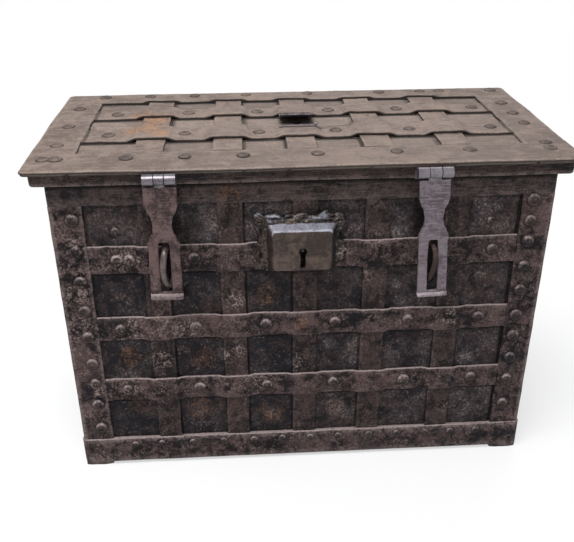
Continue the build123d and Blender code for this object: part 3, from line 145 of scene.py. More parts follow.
def floor():
    """Floor that keeps the chest's shadow near it and is plain white to the camera farther out."""
    mesh = bpy.data.meshes.new("floor")
    side = 6.0
    mesh.from_pydata([(-side, -side, 0), (side, -side, 0), (side, side, 0), (-side, side, 0)], [],
                     [(0, 1, 2, 3)])
    piece = bpy.data.objects.new("floor", mesh)
    bpy.context.scene.collection.objects.link(piece)
    g = Graph(bpy.data.materials.new("floor_white"))
    g.link((0.9, 0.9, 0.9), g.shader.inputs["Base Color"])
    g.link(0.9, g.shader.inputs["Roughness"])
    distance = g.node("VectorMath", {0: g.stretched((1.0, 1.6, 1.0))}, "Value", operation="LENGTH")
    g.white_to_camera("Emission", g.ramp(distance, 0.30, 0.85, 0.55, 1.0))
    mesh.materials.append(g.owner)
    return piece


# Materials

class Graph:
    """Short-hand for building the nodes of a material or the world."""

    def __init__(self, owner, shader="Principled BSDF", output="Material Output"):
        owner.use_nodes = True
        self.owner = owner
        self.tree = owner.node_tree
        self.shader = self.tree.nodes[shader]
        self.output = self.tree.nodes[output]

    def node(self, kind, inputs=None, output=0, **settings):
        """Adds a node with its settings, fills some inputs and gives one of its outputs."""
        node = self.tree.nodes.new("ShaderNode" + kind)
        for key, value in settings.items():
            setattr(node, key, value)
        for key, value in (inputs or {}).items():
            self.link(value, node.inputs[key])
        return node.outputs[output]

    def link(self, source, target):
        if isinstance(source, (int, float)):
            target.default_value = source
        elif isinstance(source, tuple):
            target.default_value = (*source, 1) if target.type == "RGBA" else source
        else:
            self.tree.links.new(source, target)

    def white_to_camera(self, kind, *shares):
        """Lets the camera see plain white in place of the shader, wholly or by a share."""
        white = self.node(kind, {"Color": (1, 1, 1)})
        seen = self.times(*shares, self.node("LightPath", output="Is Camera Ray"))
        mixed = self.node("MixShader", {0: seen, 1: self.shader.outputs[0], 2: white})
        self.link(mixed, self.output.inputs[0])

    def place(self):
        return self.node("TexCoord", output="Object")

    def stretched(self, scale):
        return self.node("Mapping", {"Vector": self.place(), "Scale": scale})

    def noise(self, scale, detail, rough, distortion=0.0, place=None):
        return self.node("TexNoise", {"Vector": place or self.place(), "Scale": scale, "Detail": detail,
                                      "Roughness": rough, "Distortion": distortion}, "Fac")

    def cells(self, scale):
        return self.node("TexVoronoi", {"Vector": self.place(), "Scale": scale}, "Distance")

    def ramp(self, value, low, high, low_out=0.0, high_out=1.0):
        return self.node("MapRange", {"Value": value, "From Min": low, "From Max": high, "To Min": low_out,
                                      "To Max": high_out}, "Result", interpolation_type="SMOOTHSTEP")

    def maths(self, kind, first, *others):
        for other in others:
            first = self.node("Math", {0: first, 1: other}, operation=kind)
        return first

    def times(self, *values):
        return self.maths("MULTIPLY", *values)

    def plus(self, *values):
        return self.maths("ADD", *values)

    def mix(self, amount, one, two):
        return self.node("Mix", {"Factor": amount, "A": one, "B": two}, "Result", data_type="RGBA",
                         clamp_factor=True)

    def field(self, name):
        return self.node("Attribute", output="Fac", attribute_name=name)

    def upward(self):
        return self.node("SeparateXYZ", {0: self.node("NewGeometry", output="Normal")}, "Z")


BLACK_SCALE = (0.0062, 0.0066, 0.0100)
VEIL = (0.17, 0.152, 0.162)
GRIME_AND_SHADE = (0.003, 0.0026, 0.0028)


def iron(name, deep, mid, light, rust, edge, dust_and_highlight=None, rough=(0.42, 0.72), metal=0.45, flecks=0.5, bump=0.7,
         streaks=0.0, stain=0.15, sheen=0.4, contrast=1.0, veil=0.0, grain_scale=(1.0, 1.0, 14.0)):
    """Old forged iron: two browns, blue-black scale, rust, pale flecks, worn edges and settled dust, with
    painted highlights from the wear and dust and painted shade from the grime field.
    """
    g = Graph(bpy.data.materials.new(name))
    broad = g.noise(13, 3, 0.55)
    blotch = g.noise(58, 6, 0.68, 0.5)
    fine = g.noise(300, 4, 0.65, 0.3)
    grain = g.noise(900, 2, 0.5)
    blue, pale, rusty, edges, grime_and_shade = (g.field(key) for key in ("blue", "pale", "rust", "edge", "grime_and_shade"))
    tone = g.plus(g.times(blotch, 0.50), g.times(broad, 0.25), g.times(fine, 0.25))
    spread = 0.10 / contrast
    colour = g.mix(g.ramp(tone, 0.5 - spread, 0.5 + spread), deep, mid)
    if streaks:
        lines = g.noise(40, 5, 0.7, place=g.stretched(grain_scale))
        colour = g.mix(g.times(g.ramp(lines, 0.48, 0.64), streaks), colour, light)
    colour = g.mix(g.times(blue, g.ramp(blotch, 0.30, 0.58, 1.0, 0.35)), colour, BLACK_SCALE)
    if veil:
        colour = g.mix(g.times(pale, g.ramp(fine, 0.30, 0.60, 0.3, 1.0), veil), colour, VEIL)
    spread_rust = g.ramp(g.plus(g.times(fine, 0.6), g.times(blotch, 0.4)), 0.42, 0.60)
    stains = g.times(g.ramp(broad, 0.54, 0.68), g.ramp(fine, 0.4, 0.65), stain)
    colour = g.mix(g.plus(stains, g.times(rusty, spread_rust)), colour, rust)
    fleck = g.maths("LESS_THAN", g.cells(170), g.plus(0.08, g.times(pale, 0.34)))
    fleck = g.times(fleck, g.ramp(blotch, 0.42, 0.56), g.ramp(fine, 0.35, 0.6))
    smear = g.times(pale, g.ramp(fine, 0.50, 0.60), g.ramp(blotch, 0.38, 0.60))
    scattered = g.times(g.ramp(fine, 0.58, 0.70), g.ramp(blotch, 0.42, 0.58), flecks)
    specks = g.times(g.maths("MAXIMUM", fleck, scattered), flecks * 1.2)
    colour = g.mix(g.maths("MAXIMUM", specks, smear), colour, light)
    # Pale worn edges, which also paint highlights on top edges and rivet crowns
    rubbed_and_lit = g.times(edges, g.ramp(g.plus(g.times(fine, 0.5), g.times(blotch, 0.5)), 0.36, 0.58))
    colour = g.mix(g.times(rubbed_and_lit, 0.85), colour, edge)
    # Dust on upward faces, which also paints a highlight on top ledges and rivet crowns
    if dust_and_highlight:
        amount, dust_and_highlight_colour = dust_and_highlight
        settled_and_lit = g.times(g.ramp(g.upward(), 0.35, 0.95), g.ramp(fine, 0.28, 0.56, 0.4, 1.0), amount)
        colour = g.mix(settled_and_lit, colour, dust_and_highlight_colour)
    # Darkened by the grime field: dirt and painted shade
    colour = g.mix(g.times(grime_and_shade, 0.92), colour, GRIME_AND_SHADE)
    roughness = g.plus(g.ramp(blotch, 0.35, 0.65, *rough), g.times(rubbed_and_lit, -0.10), g.times(grime_and_shade, 0.3))
    height = g.plus(g.times(blotch, 0.8), g.times(fine, 0.55), g.times(grain, 0.08), g.times(fleck, 0.08))
    relief = g.node("Bump", {"Strength": bump, "Distance": 0.0018, "Height": height})
    surface = {"Base Color": colour, "Metallic": metal, "Specular IOR Level": sheen, "Roughness": roughness,
               "Normal": relief}
    for key, value in surface.items():
        g.link(value, g.shader.inputs[key])
    return g.owner


def make_materials():
    """Irons of the chest. Colours run deep, mid, light, rust, worn edge; the worn edge colour also paints
    highlights. Dust, which also paints highlights on upward faces, is a strength and a colour.
    """
    rust = (0.125, 0.055, 0.024)
    pale = (0.30, 0.235, 0.205)
    grey = (0.20, 0.155, 0.145)
    # ledge: colour of dust and painted highlight on the straps' top ledges
    ledge = (0.34, 0.275, 0.265)
    wall = {"metal": 0.2, "rough": (0.5, 0.75), "sheen": 0.12, "contrast": 1.2}
    strap = wall | {"rough": (0.5, 0.78)}
    lid_ends = ((0.34, 0.165, 0.075), (0.30, 0.235, 0.20))
    lid = {"metal": 0.15, "stain": 0.1, "grain_scale": (0.6, 9.0, 9.0)}
    MATERIALS.update({
        "front": iron("dark_strap_iron", (0.0080, 0.0056, 0.0060), (0.090, 0.060, 0.058), pale, rust, grey,
                      flecks=0.65, dust_and_highlight=(0.9, ledge), **(strap | {"contrast": 1.3})),
        "upright": iron("upright_strap_iron", (0.0095, 0.0070, 0.0068), (0.055, 0.0375, 0.0355), pale, rust,
                        grey, dust_and_highlight=(0.5, ledge), **strap),
        "rivet": iron("rivet_iron", (0.0095, 0.0064, 0.0064), (0.062, 0.041, 0.039), pale, rust,
                      (0.44, 0.355, 0.35), dust_and_highlight=(0.35, (0.25, 0.195, 0.19)), metal=0.25, rough=(0.42, 0.62),
                      flecks=0.6, sheen=0.16),
        "panel": iron("panel_iron", (0.0080, 0.0064, 0.0070), (0.043, 0.0305, 0.0290), (0.22, 0.175, 0.155),
                      rust, grey, flecks=0.75, veil=0.42, **(wall | {"sheen": 0.10, "contrast": 1.25})),
        "collar": iron("collar_iron", (0.014, 0.0103, 0.0102), (0.075, 0.0545, 0.0505), (0.13, 0.10, 0.09),
                       rust, grey, streaks=0.45, flecks=0.45, **wall),
        "skirt": iron("skirt_iron", (0.012, 0.0083, 0.0080), (0.046, 0.032, 0.029), (0.12, 0.088, 0.078),
                      rust, grey, streaks=0.45, flecks=0.12, **wall),
        "lid": iron("lid_top_iron", (0.120, 0.086, 0.070), (0.205, 0.155, 0.128), (0.40, 0.32, 0.27),
                    *lid_ends, flecks=0.25, rough=(0.5, 0.75), bump=0.6, streaks=0.22, contrast=1.3, **lid),
        "lid_panel": iron("lid_panel_iron", (0.150, 0.113, 0.095), (0.220, 0.171, 0.143), (0.50, 0.42, 0.37),
                          *lid_ends, flecks=0.8, rough=(0.6, 0.85), streaks=0.15, **lid),
        "lid_rivet": iron("lid_rivet_iron", (0.055, 0.040, 0.034), (0.140, 0.103, 0.085), (0.22, 0.17, 0.14),
                          *lid_ends, flecks=0.2, metal=0.2, rough=(0.5, 0.7)),
        "cover": iron("keyhole_cover_iron", (0.066, 0.056, 0.060), (0.19, 0.163, 0.178), (0.40, 0.37, 0.41),
                      rust, (0.42, 0.385, 0.415), metal=0.4, rough=(0.4, 0.6), dust_and_highlight=(0.6, (0.33, 0.30, 0.34)),
                      contrast=1.4),
        "hasp_left": iron("rusty_hasp_iron", (0.034, 0.0222, 0.0212), (0.140, 0.090, 0.086),
                          (0.22, 0.167, 0.162), (0.12, 0.065, 0.045), (0.20, 0.155, 0.155),
                          rough=(0.38, 0.62), flecks=0.6, bump=1.0, dust_and_highlight=(0.8, (0.25, 0.20, 0.20)),
                          contrast=1.6, streaks=0.25, sheen=0.25),
        "hasp_right": iron("brushed_hasp_iron", (0.082, 0.063, 0.071), (0.168, 0.136, 0.154),
                           (0.29, 0.25, 0.265), (0.14, 0.09, 0.07), (0.28, 0.235, 0.245), rough=(0.40, 0.62),
                           metal=0.4, flecks=0.15, bump=0.8, dust_and_highlight=(0.7, (0.30, 0.255, 0.265)), contrast=1.5,
                           streaks=0.55, sheen=0.3),
        "steel": iron("worn_steel", (0.115, 0.102, 0.110), (0.22, 0.20, 0.215), (0.38, 0.36, 0.39),
                      (0.12, 0.07, 0.045), (0.45, 0.43, 0.47), rough=(0.32, 0.42), metal=0.85, flecks=0.0,
                      bump=0.05, contrast=0.7),
        "case": iron("lock_case_iron", (0.028, 0.019, 0.0155), (0.080, 0.055, 0.045), (0.17, 0.135, 0.12),
                     (0.13, 0.07, 0.04), (0.74, 0.75, 0.82), rough=(0.35, 0.55), metal=0.4, flecks=0.3,
                     bump=0.35, dust_and_highlight=(0.62, (0.35, 0.355, 0.43))),
        "fret": iron("escutcheon_iron", (0.012, 0.0085, 0.0068), (0.070, 0.049, 0.039), (0.34, 0.27, 0.215),
                     (0.21, 0.155, 0.095), (0.25, 0.255, 0.295), rough=(0.4, 0.65), metal=0.3, flecks=0.6,
                     dust_and_highlight=(0.22, (0.26, 0.25, 0.275)), bump=0.5, contrast=1.6, sheen=0.2),
        "face": iron("lock_face_iron", (0.028, 0.0185, 0.0140), (0.098, 0.066, 0.053), (0.16, 0.12, 0.100),
                     (0.12, 0.065, 0.04), (0.25, 0.21, 0.20), rough=(0.35, 0.55), metal=0.4, flecks=0.25,
                     bump=0.4, contrast=1.15),
        "staple": iron("staple_iron", (0.060, 0.045, 0.043), (0.145, 0.115, 0.110), (0.25, 0.21, 0.20), rust,
                       (0.36, 0.32, 0.32), rough=(0.26, 0.42), metal=0.6, flecks=0.1, bump=0.2),
        "inside": iron("inner_iron", (0.030, 0.020, 0.016), (0.075, 0.050, 0.040), (0.12, 0.09, 0.07), rust,
                       (0.15, 0.12, 0.11), flecks=0.2, metal=0.3),
    })


# Painted fields, from places on the object. Spots are given by their middle and radius

RUST_SPOTS = ((-57, 302, 17), (-263, 203, 17), (-155, 198, 18), (-164, 100, 18), (-51, 90, 20),
              (-256, 115, 17), (53, 93, 17), (-4, 254, 11), (-103, 463, 17), (-156, 110, 13))
PALE_SPOTS = ((-250, 364, 22), (-258, 249, 25), (-214, 257, 22), (-178, 249, 20), (-271, 154, 25),
              (-107, 151, 20), (-61, 153, 22), (-106, 297, 18), (-110, 205, 20), (-216, 197, 18),
              (-14, 188, 17), (257, 322, 8), (135, 313, 8), (141, 284, 11), (250, 176, 14), (158, 142, 14),
              (223, 90, 14), (-324, 386, 17), (-322, 322, 17), (-321, 272, 17), (-321, 147, 17),
              (-116, 417, 14), (99, 387, 14), (134, 398, 14), (57, 373, 11), (94, 334, 11), (219, 257, 14),
              (39, 213, 11), (53, 93, 17), (-164, 100, 14), (-51, 90, 15))
LID_RUST = ((-228, -10, 34), (-215, 35, 22), (-240, 60, 16), (-205, -40, 16))
VERTICAL_XS = (-212.1, -103.95, 0.0, 101.85, 213.85)
END_VERTICAL_YS = (-52.8, 52.8)
ROW_SPANS = ((124.9, 163.9), (234.6, 273.6), (345.8, 388.2))

# Blue-black scale of the front's panels, from the lowest row up and from left to right
PANEL_BLUE = (
    (1.0, 0.95, 0.9, 0.2, 0.5, 0.1),
    (0.75, 0.95, 1.0, 0.45, 0.6, 0.7),
    (1.0, 1.0, 0.75, 0.35, 0.2, 0.25),
    (0.1, 0.15, 0.1, 0.1, 0.15, 0.1),
)


def near(spots, x, z):
    """How far a place lies inside the nearest of some round spots, 0 to 1."""
    best = max(1.0 - math.hypot(x - cx, z - cz) / (radius * 1.25) for cx, cz, radius in spots)
    return clamp(best * 2.0)


def panel_blue(x, z):
    """Strength of the blue-black scale in the panel that holds a place of the front."""
    row = sum(z > low for low, high in ROW_SPANS)
    column = sum(x > middle for middle in VERTICAL_XS)
    return PANEL_BLUE[row][column]


def plain_fields(place, panel):
    """Fields of the back and the ends, by noise alone."""
    wander = 0.5 + noise.noise(place / 30.0) + 0.5 * noise.noise(place / 9.0)
    scale = 1.3 * noise.noise(place / 75.0) + (0.35 if panel else -0.15)
    return max(0.0, noise.noise(place / 50.0) - 0.2), clamp(0.28 * wander), max(0.0, min(0.9, scale))


def wall_fields(place, panel=False):
    """Rust, pale and blue at a place on the outside."""
    x, y, z = place
    if z > LID_UNDER:
        return 0.85 * near(LID_RUST, x, y - SHIFT), 0.0, 0.0
    if y > FRONT + 20:
        return plain_fields(place, panel)
    paleness = 0.55 if x < -304 else 0.30 if x < -60 else 0.18
    if panel and z > ROW_SPANS[2][1]:
        paleness += 0.26
    elif panel and x > 60:
        paleness += 0.30 if z < ROW_SPANS[1][0] else 0.08
    wander = 0.5 + noise.noise(Vector((x, 0, z)) / 30.0) + 0.5 * noise.noise(Vector((x, 50, z)) / 9.0)
    pale = max(0.85 * near(PALE_SPOTS, x, z) * max(0.0, 0.4 + wander), paleness * wander)
    rust = min(1.0, 0.6 * near(RUST_SPOTS, x, z) * max(0.0, 0.3 + wander))
    if panel:
        blue = panel_blue(x, z)
        return rust, clamp(pale * (1 - 0.55 * blue)), blue * (1 - 0.8 * rust)
    scale = 1.1 * uneven(x / 50, 80, z / 40) + (0.25 if z < PLINTH_TOP or abs(x) > 300 else -0.1)
    if COLLAR_BOTTOM < z < LID_UNDER:
        scale += 0.5 * smooth((-60.0 - x) / 140.0) - 0.15
    return rust, clamp(pale), max(0.0, min(0.9, scale))


def panel_fields(place):
    return wall_fields(place, panel=True)


# Mesh building

class Shell:
    """Collects the corners and faces of one piece. A corner is a place in millimetres, a wear with painted
    highlight and a dirt with painted shade.
    """

    def __init__(self):
        self.corners = []
        self.faces = []

    def quads(self, start, count, total, around=False):
        """Faces between rows of corners, each row closed on itself."""
        for i in range(total if around else total - 1):
            a = start + i * count
            b = start + ((i + 1) % total) * count
            for j in range(count):
                k = (j + 1) % count
                self.faces.append((a + j, a + k, b + k, b + j))

    def grid(self, rows, around=False, cap=True):
        """Adds rows of corners: each row closes on itself, and around joins the last row to the first."""
        start = len(self.corners)
        count, total = len(rows[0]), len(rows)
        for row in rows:
            self.corners += row
        self.quads(start, count, total, around)
        if cap and not around:
            last = start + (total - 1) * count
            self.faces.append(tuple(range(start, start + count)))
            self.faces.append(tuple(reversed(range(last, last + count))))
        return self

    def dome(self, centre, axis, radius, height, seed, shine_share=1.0, soil_and_shade_share=1.0):
        """Hammered rivet head standing on a face."""
        sides = 14
        rng = random.Random(seed)
        side = axis.orthogonal().normalized()
        other = axis.cross(side)
        spin = rng.uniform(0, math.tau)
        radius *= rng.uniform(0.92, 1.06)
        height *= rng.uniform(0.86, 1.10)
        lean = Vector((rng.uniform(-1, 1), rng.uniform(-1, 1))) * radius * 0.10
        # Rings as shares of the radius and the height, with their foot's lift, their dirt and painted shade,
        # and their shine, a painted highlight
        rings = ((1.12, 0.0, 0.30, 0.5, 0.0), (1.03, 0.0, 0.60, 1.0, 0.0), (1.00, 0.16, 0.0, 0.5, 0.2),
                 (0.95, 0.42, 0.0, 0.1, 0.7), (0.82, 0.70, 0.0, 0.0, 1.0), (0.62, 0.88, 0.0, 0.15, 0.25),
                 (0.40, 0.95, 0.0, 0.35, 0.0), (0.16, 0.99, 0.0, 0.2, 0.1))
        start = len(self.corners)
        stands = abs(axis.z) < 0.5
        patch = rng.uniform(0.5, 1.0)
        for share, up, foot, dirt, shine in rings:
            for j in range(sides):
                turn = spin + math.tau * j / sides
                c, s = math.cos(turn), math.sin(turn)
                reach = radius * share * (1 + 0.08 * uneven(c * 1.6, s * 1.6, seed * 1.7))
                flat = side * (c * reach + lean.x * up) + other * (s * reach + lean.y * up)
                dent = 0.45 * uneven(turn, up * 2.0, seed * 3.1) * up
                # Heads on walls get a painted highlight above and a painted shadow below
                above = flat.normalized().z if stands else 0.0
                soil_and_shade = dirt * (0.55 - 0.45 * above) if stands else dirt
                wear = shine * patch * max(0.05, 0.25 + 0.75 * above)
                place = centre + flat + axis * (height * up + dent + foot)
                self.corners.append((place, wear * shine_share, soil_and_shade * soil_and_shade_share))
        self.quads(start, sides, len(rings))
        last = start + (len(rings) - 1) * sides
        self.faces.append(tuple(range(last, last + sides)))

    def finish(self, name, key, body, *nodes, grime_and_shade=None, angle=50, paint=wall_fields):
        """Turns the shell into an object that rides on a body and stands for some nodes."""
        mesh = bpy.data.meshes.new(name)
        mesh.from_pydata([place * MM for place, wear, dirt in self.corners], [], self.faces)
        tidy = bmesh.new()
        tidy.from_mesh(mesh)
        bmesh.ops.recalc_face_normals(tidy, faces=tidy.faces)
        tidy.to_mesh(mesh)
        tidy.free()
        fields = {field: [] for field in ("edge", "grime_and_shade", "rust", "pale", "blue")}
        for place, wear, dirt in self.corners:
            # The corner's dirt and painted shade, or that of the grime function where darker
            soil_and_shade = max(dirt, grime_and_shade(place)) if grime_and_shade else dirt
            for values, value in zip(fields.values(), (wear, soil_and_shade, *paint(place))):
                values.append(value)
        for field, values in fields.items():
            mesh.attributes.new(field, "FLOAT", "POINT").data.foreach_set("value", values)
        soften(mesh, angle)
        register(name, mesh, key, body, *nodes)


def soften(mesh, angle=None):
    """Smooth shading, with sharp edges above an angle in degrees where one is given."""
    mesh.polygons.foreach_set("use_smooth", [True] * len(mesh.polygons))
    if angle:
        mesh.set_sharp_from_angle(angle=math.radians(angle))


def register(name, mesh, key, body, *nodes):
    """Makes a mesh a piece with its material that rides on a body, in place of some nodes."""
    piece = bpy.data.objects.new(name, mesh)
    bpy.context.scene.collection.objects.link(piece)
    mesh.materials.clear()
    mesh.materials.append(MATERIALS[key])
    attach(piece, body)
    if nodes:
        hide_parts(*nodes)


def curve_mesh(name, curve):
    """Mesh of a curve, in metres."""
    holder = bpy.data.objects.new(name, curve)
    bpy.context.scene.collection.objects.link(holder)
    mesh = bpy.data.meshes.new_from_object(holder)
    bpy.data.objects.remove(holder)
    mesh.name = name
    return mesh


def flat_plate(name, outline, hole, thick, bevel, matrix):
    """Plate cut from an outline with a hole, with rounded edges."""
    curve = bpy.data.curves.new(name, "CURVE")
    curve.dimensions = "2D"
    curve.fill_mode = "BOTH"
    curve.extrude = (thick / 2 - bevel) * MM
    curve.bevel_depth = bevel * MM
    curve.bevel_resolution = 2
    curve.offset = -bevel * MM
    for ring in (outline, hole):
        spline = curve.splines.new("POLY")
        spline.points.add(len(ring) - 1)
        for point, (x, y) in zip(spline.points, ring):
            point.co = (x * MM, y * MM, 0, 1)
        spline.use_cyclic_u = True
    mesh = curve_mesh(name, curve)
    mesh.transform(matrix @ Matrix.Rotation(math.radians(90), 4, "X"))
    soften(mesh, 40)
    return mesh


def tube(name, points, radius, key, body, *nodes):
    """Forged round bar along a smooth path, a little uneven."""
    curve = bpy.data.curves.new(name, "CURVE")
    curve.dimensions = "3D"
    curve.bevel_depth = radius * MM
    curve.bevel_resolution = 5
    curve.resolution_u = 10
    curve.use_fill_caps = True
    spline = curve.splines.new("NURBS")
    spline.points.add(len(points) - 1)
    for index, (point, place) in enumerate(zip(spline.points, points)):
        point.co = (*(Vector(place) * MM), 1)
        point.radius = 1 + 0.06 * math.sin(index * 2.1)
    spline.order_u = 3
    spline.use_endpoint_u = True
    mesh = curve_mesh(name, curve)
    soften(mesh)
    register(name, mesh, key, body, *nodes)


def islands(name):
    """Loose solids of a CAD node, each as its list of corners in millimetres."""
    work = bmesh.new()
    work.from_mesh(NODES[name].data)
    bmesh.ops.remove_doubles(work, verts=work.verts, dist=1e-6)
    seen = set()
    groups = []
    for first in work.verts:
        if first.index in seen:
            continue
        seen.add(first.index)
        stack, group = [first], []
        while stack:
            vert = stack.pop()
            group.append(vert.co / MM)
            for link in vert.link_edges:
                far = link.other_vert(vert)
                if far.index not in seen:
                    seen.add(far.index)
                    stack.append(far)
        groups.append(group)
    work.free()
    return groups


def box_of(points):
    low = Vector([min(p[i] for p in points) for i in range(3)])
    high = Vector([max(p[i] for p in points) for i in range(3)])
    return low, high


def ribbon(shell, stations, across, out, width, seed, wave, bevel=1.0, hump=None, wear=(0.5, 0.5),
           dirt=(0.9, 0.9), trim=None):
    """Forged strap along stations, standing out from its base line, with uneven rounded edges.

    The pairs for wear and dirt, which also paint highlight and shade, are for the edge against the across
    direction and the one along it."""
    half = width / 2
    edge = ((0.0, 0.0, 0.0, 1.0), (0.0, 0.60, 0.3, 0.8), (0.3 * bevel, 0.90, 1.0, 0.1))
    section = [(-1, *corner) for corner in edge]
    section += [(0, place, 1.0, 0.0, 0.0) for place in span(-half + bevel, half - bevel, 5.0)]
    section += [(1, *corner) for corner in reversed(edge)]
    rows = []
    run = 0.0
    for i, base in enumerate(stations):
        if i:
            run += (base - stations[i - 1]).length
        low = wave * waver(run, seed, 1, 2)
        high = wave * waver(run, seed, 5, 6) + (trim(base) if trim else 0.0)
        row = []
        for side, inset, level, rubbed_and_lit, soil_and_shade in section:
            which = 0 if side < 0 else 1
            if side < 0:
                place = -half + inset + low
            elif side > 0:
                place = half - inset + high
            else:
                share = (inset + half) / width
                place = inset + low * (1 - share) + high * share
                which = 0 if share < 0.5 else 1
                rubbed_and_lit = max(0.0, 1 - min(inset + half, half - inset) / 3.0) * 0.7
            point = base + across * place
            lift = STRAP * level
            if level == 1.0:
                lift += 0.25 * uneven(run / 16, place / 16, seed + 9)
            if hump and level > 0:
                lift += hump(point)
            row.append((point + out * lift, rubbed_and_lit * wear[which], soil_and_shade * dirt[which]))
        rows.append(row)
    shell.grid(rows)


def joggle(place, crossings, crossing_width, rise, run=9.0):
    """How far a strap is lifted where it steps over the straps that it crosses."""
    gap = min(abs(place - middle) for middle in crossings) - crossing_width / 2 - 1.0
    return rise * (1 - smooth(gap / run))


# Walls

UP = Vector((0, 0, 1))
UPRIGHT_WIDTH = 35.0
UPRIGHT_GAP = UPRIGHT_WIDTH / 2 + 0.7


class Wall:
    """A wall of the body: its outward direction, its sheet's distance and half length, its straps' seeds."""

    def __init__(self, name, out, away, half, upright_seeds, row_seeds):
        self.name = name
        self.out = Vector(out)
        self.along = Vector((abs(self.out.y), abs(self.out.x), 0))
        self.middle = Vector((0, SHIFT, 0)) + self.out * away
        self.half = half
        self.upright_seeds = upright_seeds
        self.row_seeds = row_seeds
        self.end = self.out.x != 0

    def at(self, along, z, lift=0.0):
        """Place on the sheet at a distance from the wall's middle and a height, lifted outwards."""
        return self.middle + self.along * along + self.out * lift + UP * z

    def measure(self, place):
        """Distance of a place from the wall's middle, along the wall."""
        return (place - self.middle).dot(self.along)

    def boxes(self, node, direction, step):
        """Boxes of a node's straps on this wall in order, with the pieces of one strap joined."""
        groups = {}
        for group in islands(node):
            low, high = box_of(group)
            middle = (low + high) / 2
            if not self.end or middle.x * self.out.x > 0:
                groups.setdefault(round(middle.dot(direction) / step), []).extend(group)
        return [box_of(groups[key]) for key in sorted(groups)]


WALLS = (
    Wall("front", (0, -1, 0), SHEET_Y, SHEET_X, range(11, 16), range(16, 19)),
    Wall("back", (0, 1, 0), SHEET_Y, SHEET_X, range(19, 24), range(24, 27)),
    Wall("left", (-1, 0, 0), SHEET_X, END_SHEET_Y, (27, 29), range(31, 34)),
    Wall("right", (1, 0, 0), SHEET_X, END_SHEET_Y, (28, 30), range(34, 37)),
)


def add_uprights(shell, wall, node, **looks):
    """Adds a wall's upright straps and gives their distances from its middle."""
    middles = []
    for seed, (low, high) in zip(wall.upright_seeds, wall.boxes(node, wall.along, 5)):
        middle = wall.measure((low + high) / 2)
        middles.append(middle)
        stations = [wall.at(middle, z) for z in span(low.z, high.z, 5.0)]
        ribbon(shell, stations, wall.along, wall.out, (high - low).dot(wall.along), seed, 1.1, **looks)
    return middles


def level_straps(wall, middles, grime_and_shade=None):
    """Level straps of a wall, which step over its upright ones."""
    shell = Shell()
    node = wall.name + "_cross_straps"
    for seed, (low, high) in zip(wall.row_seeds, wall.boxes(node, UP, 20)):
        stations = [wall.at(place, (low.z + high.z) / 2, joggle(place, middles, UPRIGHT_WIDTH, STRAP))
                    for place in span(wall.measure(low), wall.measure(high), 4.0)]
        # Painted highlight on each level strap's top edge, painted shadow under its lower edge
        ribbon(shell, stations, UP, wall.out, high.z - low.z, seed, 1.3, wear=(0.2, 1.0), dirt=(1.0, 0.0),
               bevel=1.4)
    shell.finish(wall.name + "_rows", "front", "chest", node, grime_and_shade=grime_and_shade)


def wall_straps():
    """Straps of the front and the back, and those of the two ends, whose uprights are one piece."""
    for wall in WALLS[:2]:
        shade = hasp_shade if wall.name == "front" else None
        node = wall.name + "_vertical_straps"
        shell = Shell()
        # Uprights: wear and painted highlight on one edge, dirt and painted shade mostly on the other
        middles = add_uprights(shell, wall, node, wear=(0.3, 0.15), dirt=(0.5, 0.9))
        shell.finish(wall.name + "_uprights", "upright", "chest", node, grime_and_shade=shade)
        level_straps(wall, middles, shade)
    ends = WALLS[2:]
    node = "end_vertical_straps"
    shell = Shell()
    places = [add_uprights(shell, wall, node, wear=(0.25, 0.25)) for wall in ends]
    shell.finish("end_uprights", "upright", "chest", node)
    for wall, middles in zip(ends, places):
        level_straps(wall, middles)


ANGLE_X = 304.0
ANGLE_Y = 119.0
ARRIS = 4.0


def corner_row(z, seed, side_x, side_y):
    """Corners round an angle strap at a height, from its edge on the front or back to its edge on the end."""
    left = side_x < 0
    front_edge = ANGLE_X + 1.6 * uneven(z / 40, seed, 0) + 0.6 * uneven(z / 11, seed, 3)
    end_edge = ANGLE_Y + 1.6 * uneven(z / 40, seed, 8) + 0.6 * uneven(z / 11, seed, 9)
    # Inner edges get a painted highlight on the left straps and a painted shade on the right ones
    section = [(front_edge, SHEET_Y, 0.3 if left else 0.0, 1.0),
               (front_edge, HALF_Y - 0.8, 0.9 if left else 0.1, 0.5 if left else 1.0)]
    for x in (front_edge + 0.8, front_edge + 6, 318, 326, 334, 342):
        lump = 0.35 * uneven(x / 14, z / 14, seed)
        section.append((x, HALF_Y - 0.2 + lump, 0.6 if left and x < front_edge + 1 else 0.0, 0.0))
    lump = 0.5 * uneven(seed, z / 30, 4)
    for turn in (0, 22.5, 45, 67.5, 90):
        angle = math.radians(turn)
        section.append((HALF_X - ARRIS + ARRIS * math.sin(angle) + lump,
                        HALF_Y - ARRIS + ARRIS * math.cos(angle), 0.75, 0.0))
    for y in (157, 149, 141, 133, 125, end_edge + 0.8):
        lump = 0.35 * uneven(y / 14, z / 14, seed + 5)
        section.append((HALF_X - 0.2 + lump, y, 0.6 if y < 121 else 0.0, 0.0))
    section += [(HALF_X - 0.8, end_edge, 0.9, 0.5), (SHEET_X, end_edge, 0.3, 1.0),
                (SHEET_X, SHEET_Y, 0.0, 0.0)]
    return [(Vector((side_x * x, SHIFT + side_y * y, z)), wear, dirt) for x, y, wear, dirt in section]


def corner_straps():
    """Angle straps round the four corners, with a softened arris."""
    shell = Shell()
    for seed, (side_x, side_y) in enumerate(((-1, -1), (-1, 1), (1, -1), (1, 1)), 71):
        shell.grid([corner_row(z, seed, side_x, side_y) for z in span(PLINTH_TOP, COLLAR_BOTTOM, 5.0)])
    shell.finish("corner_angles", "front", "chest", "corner_straps")


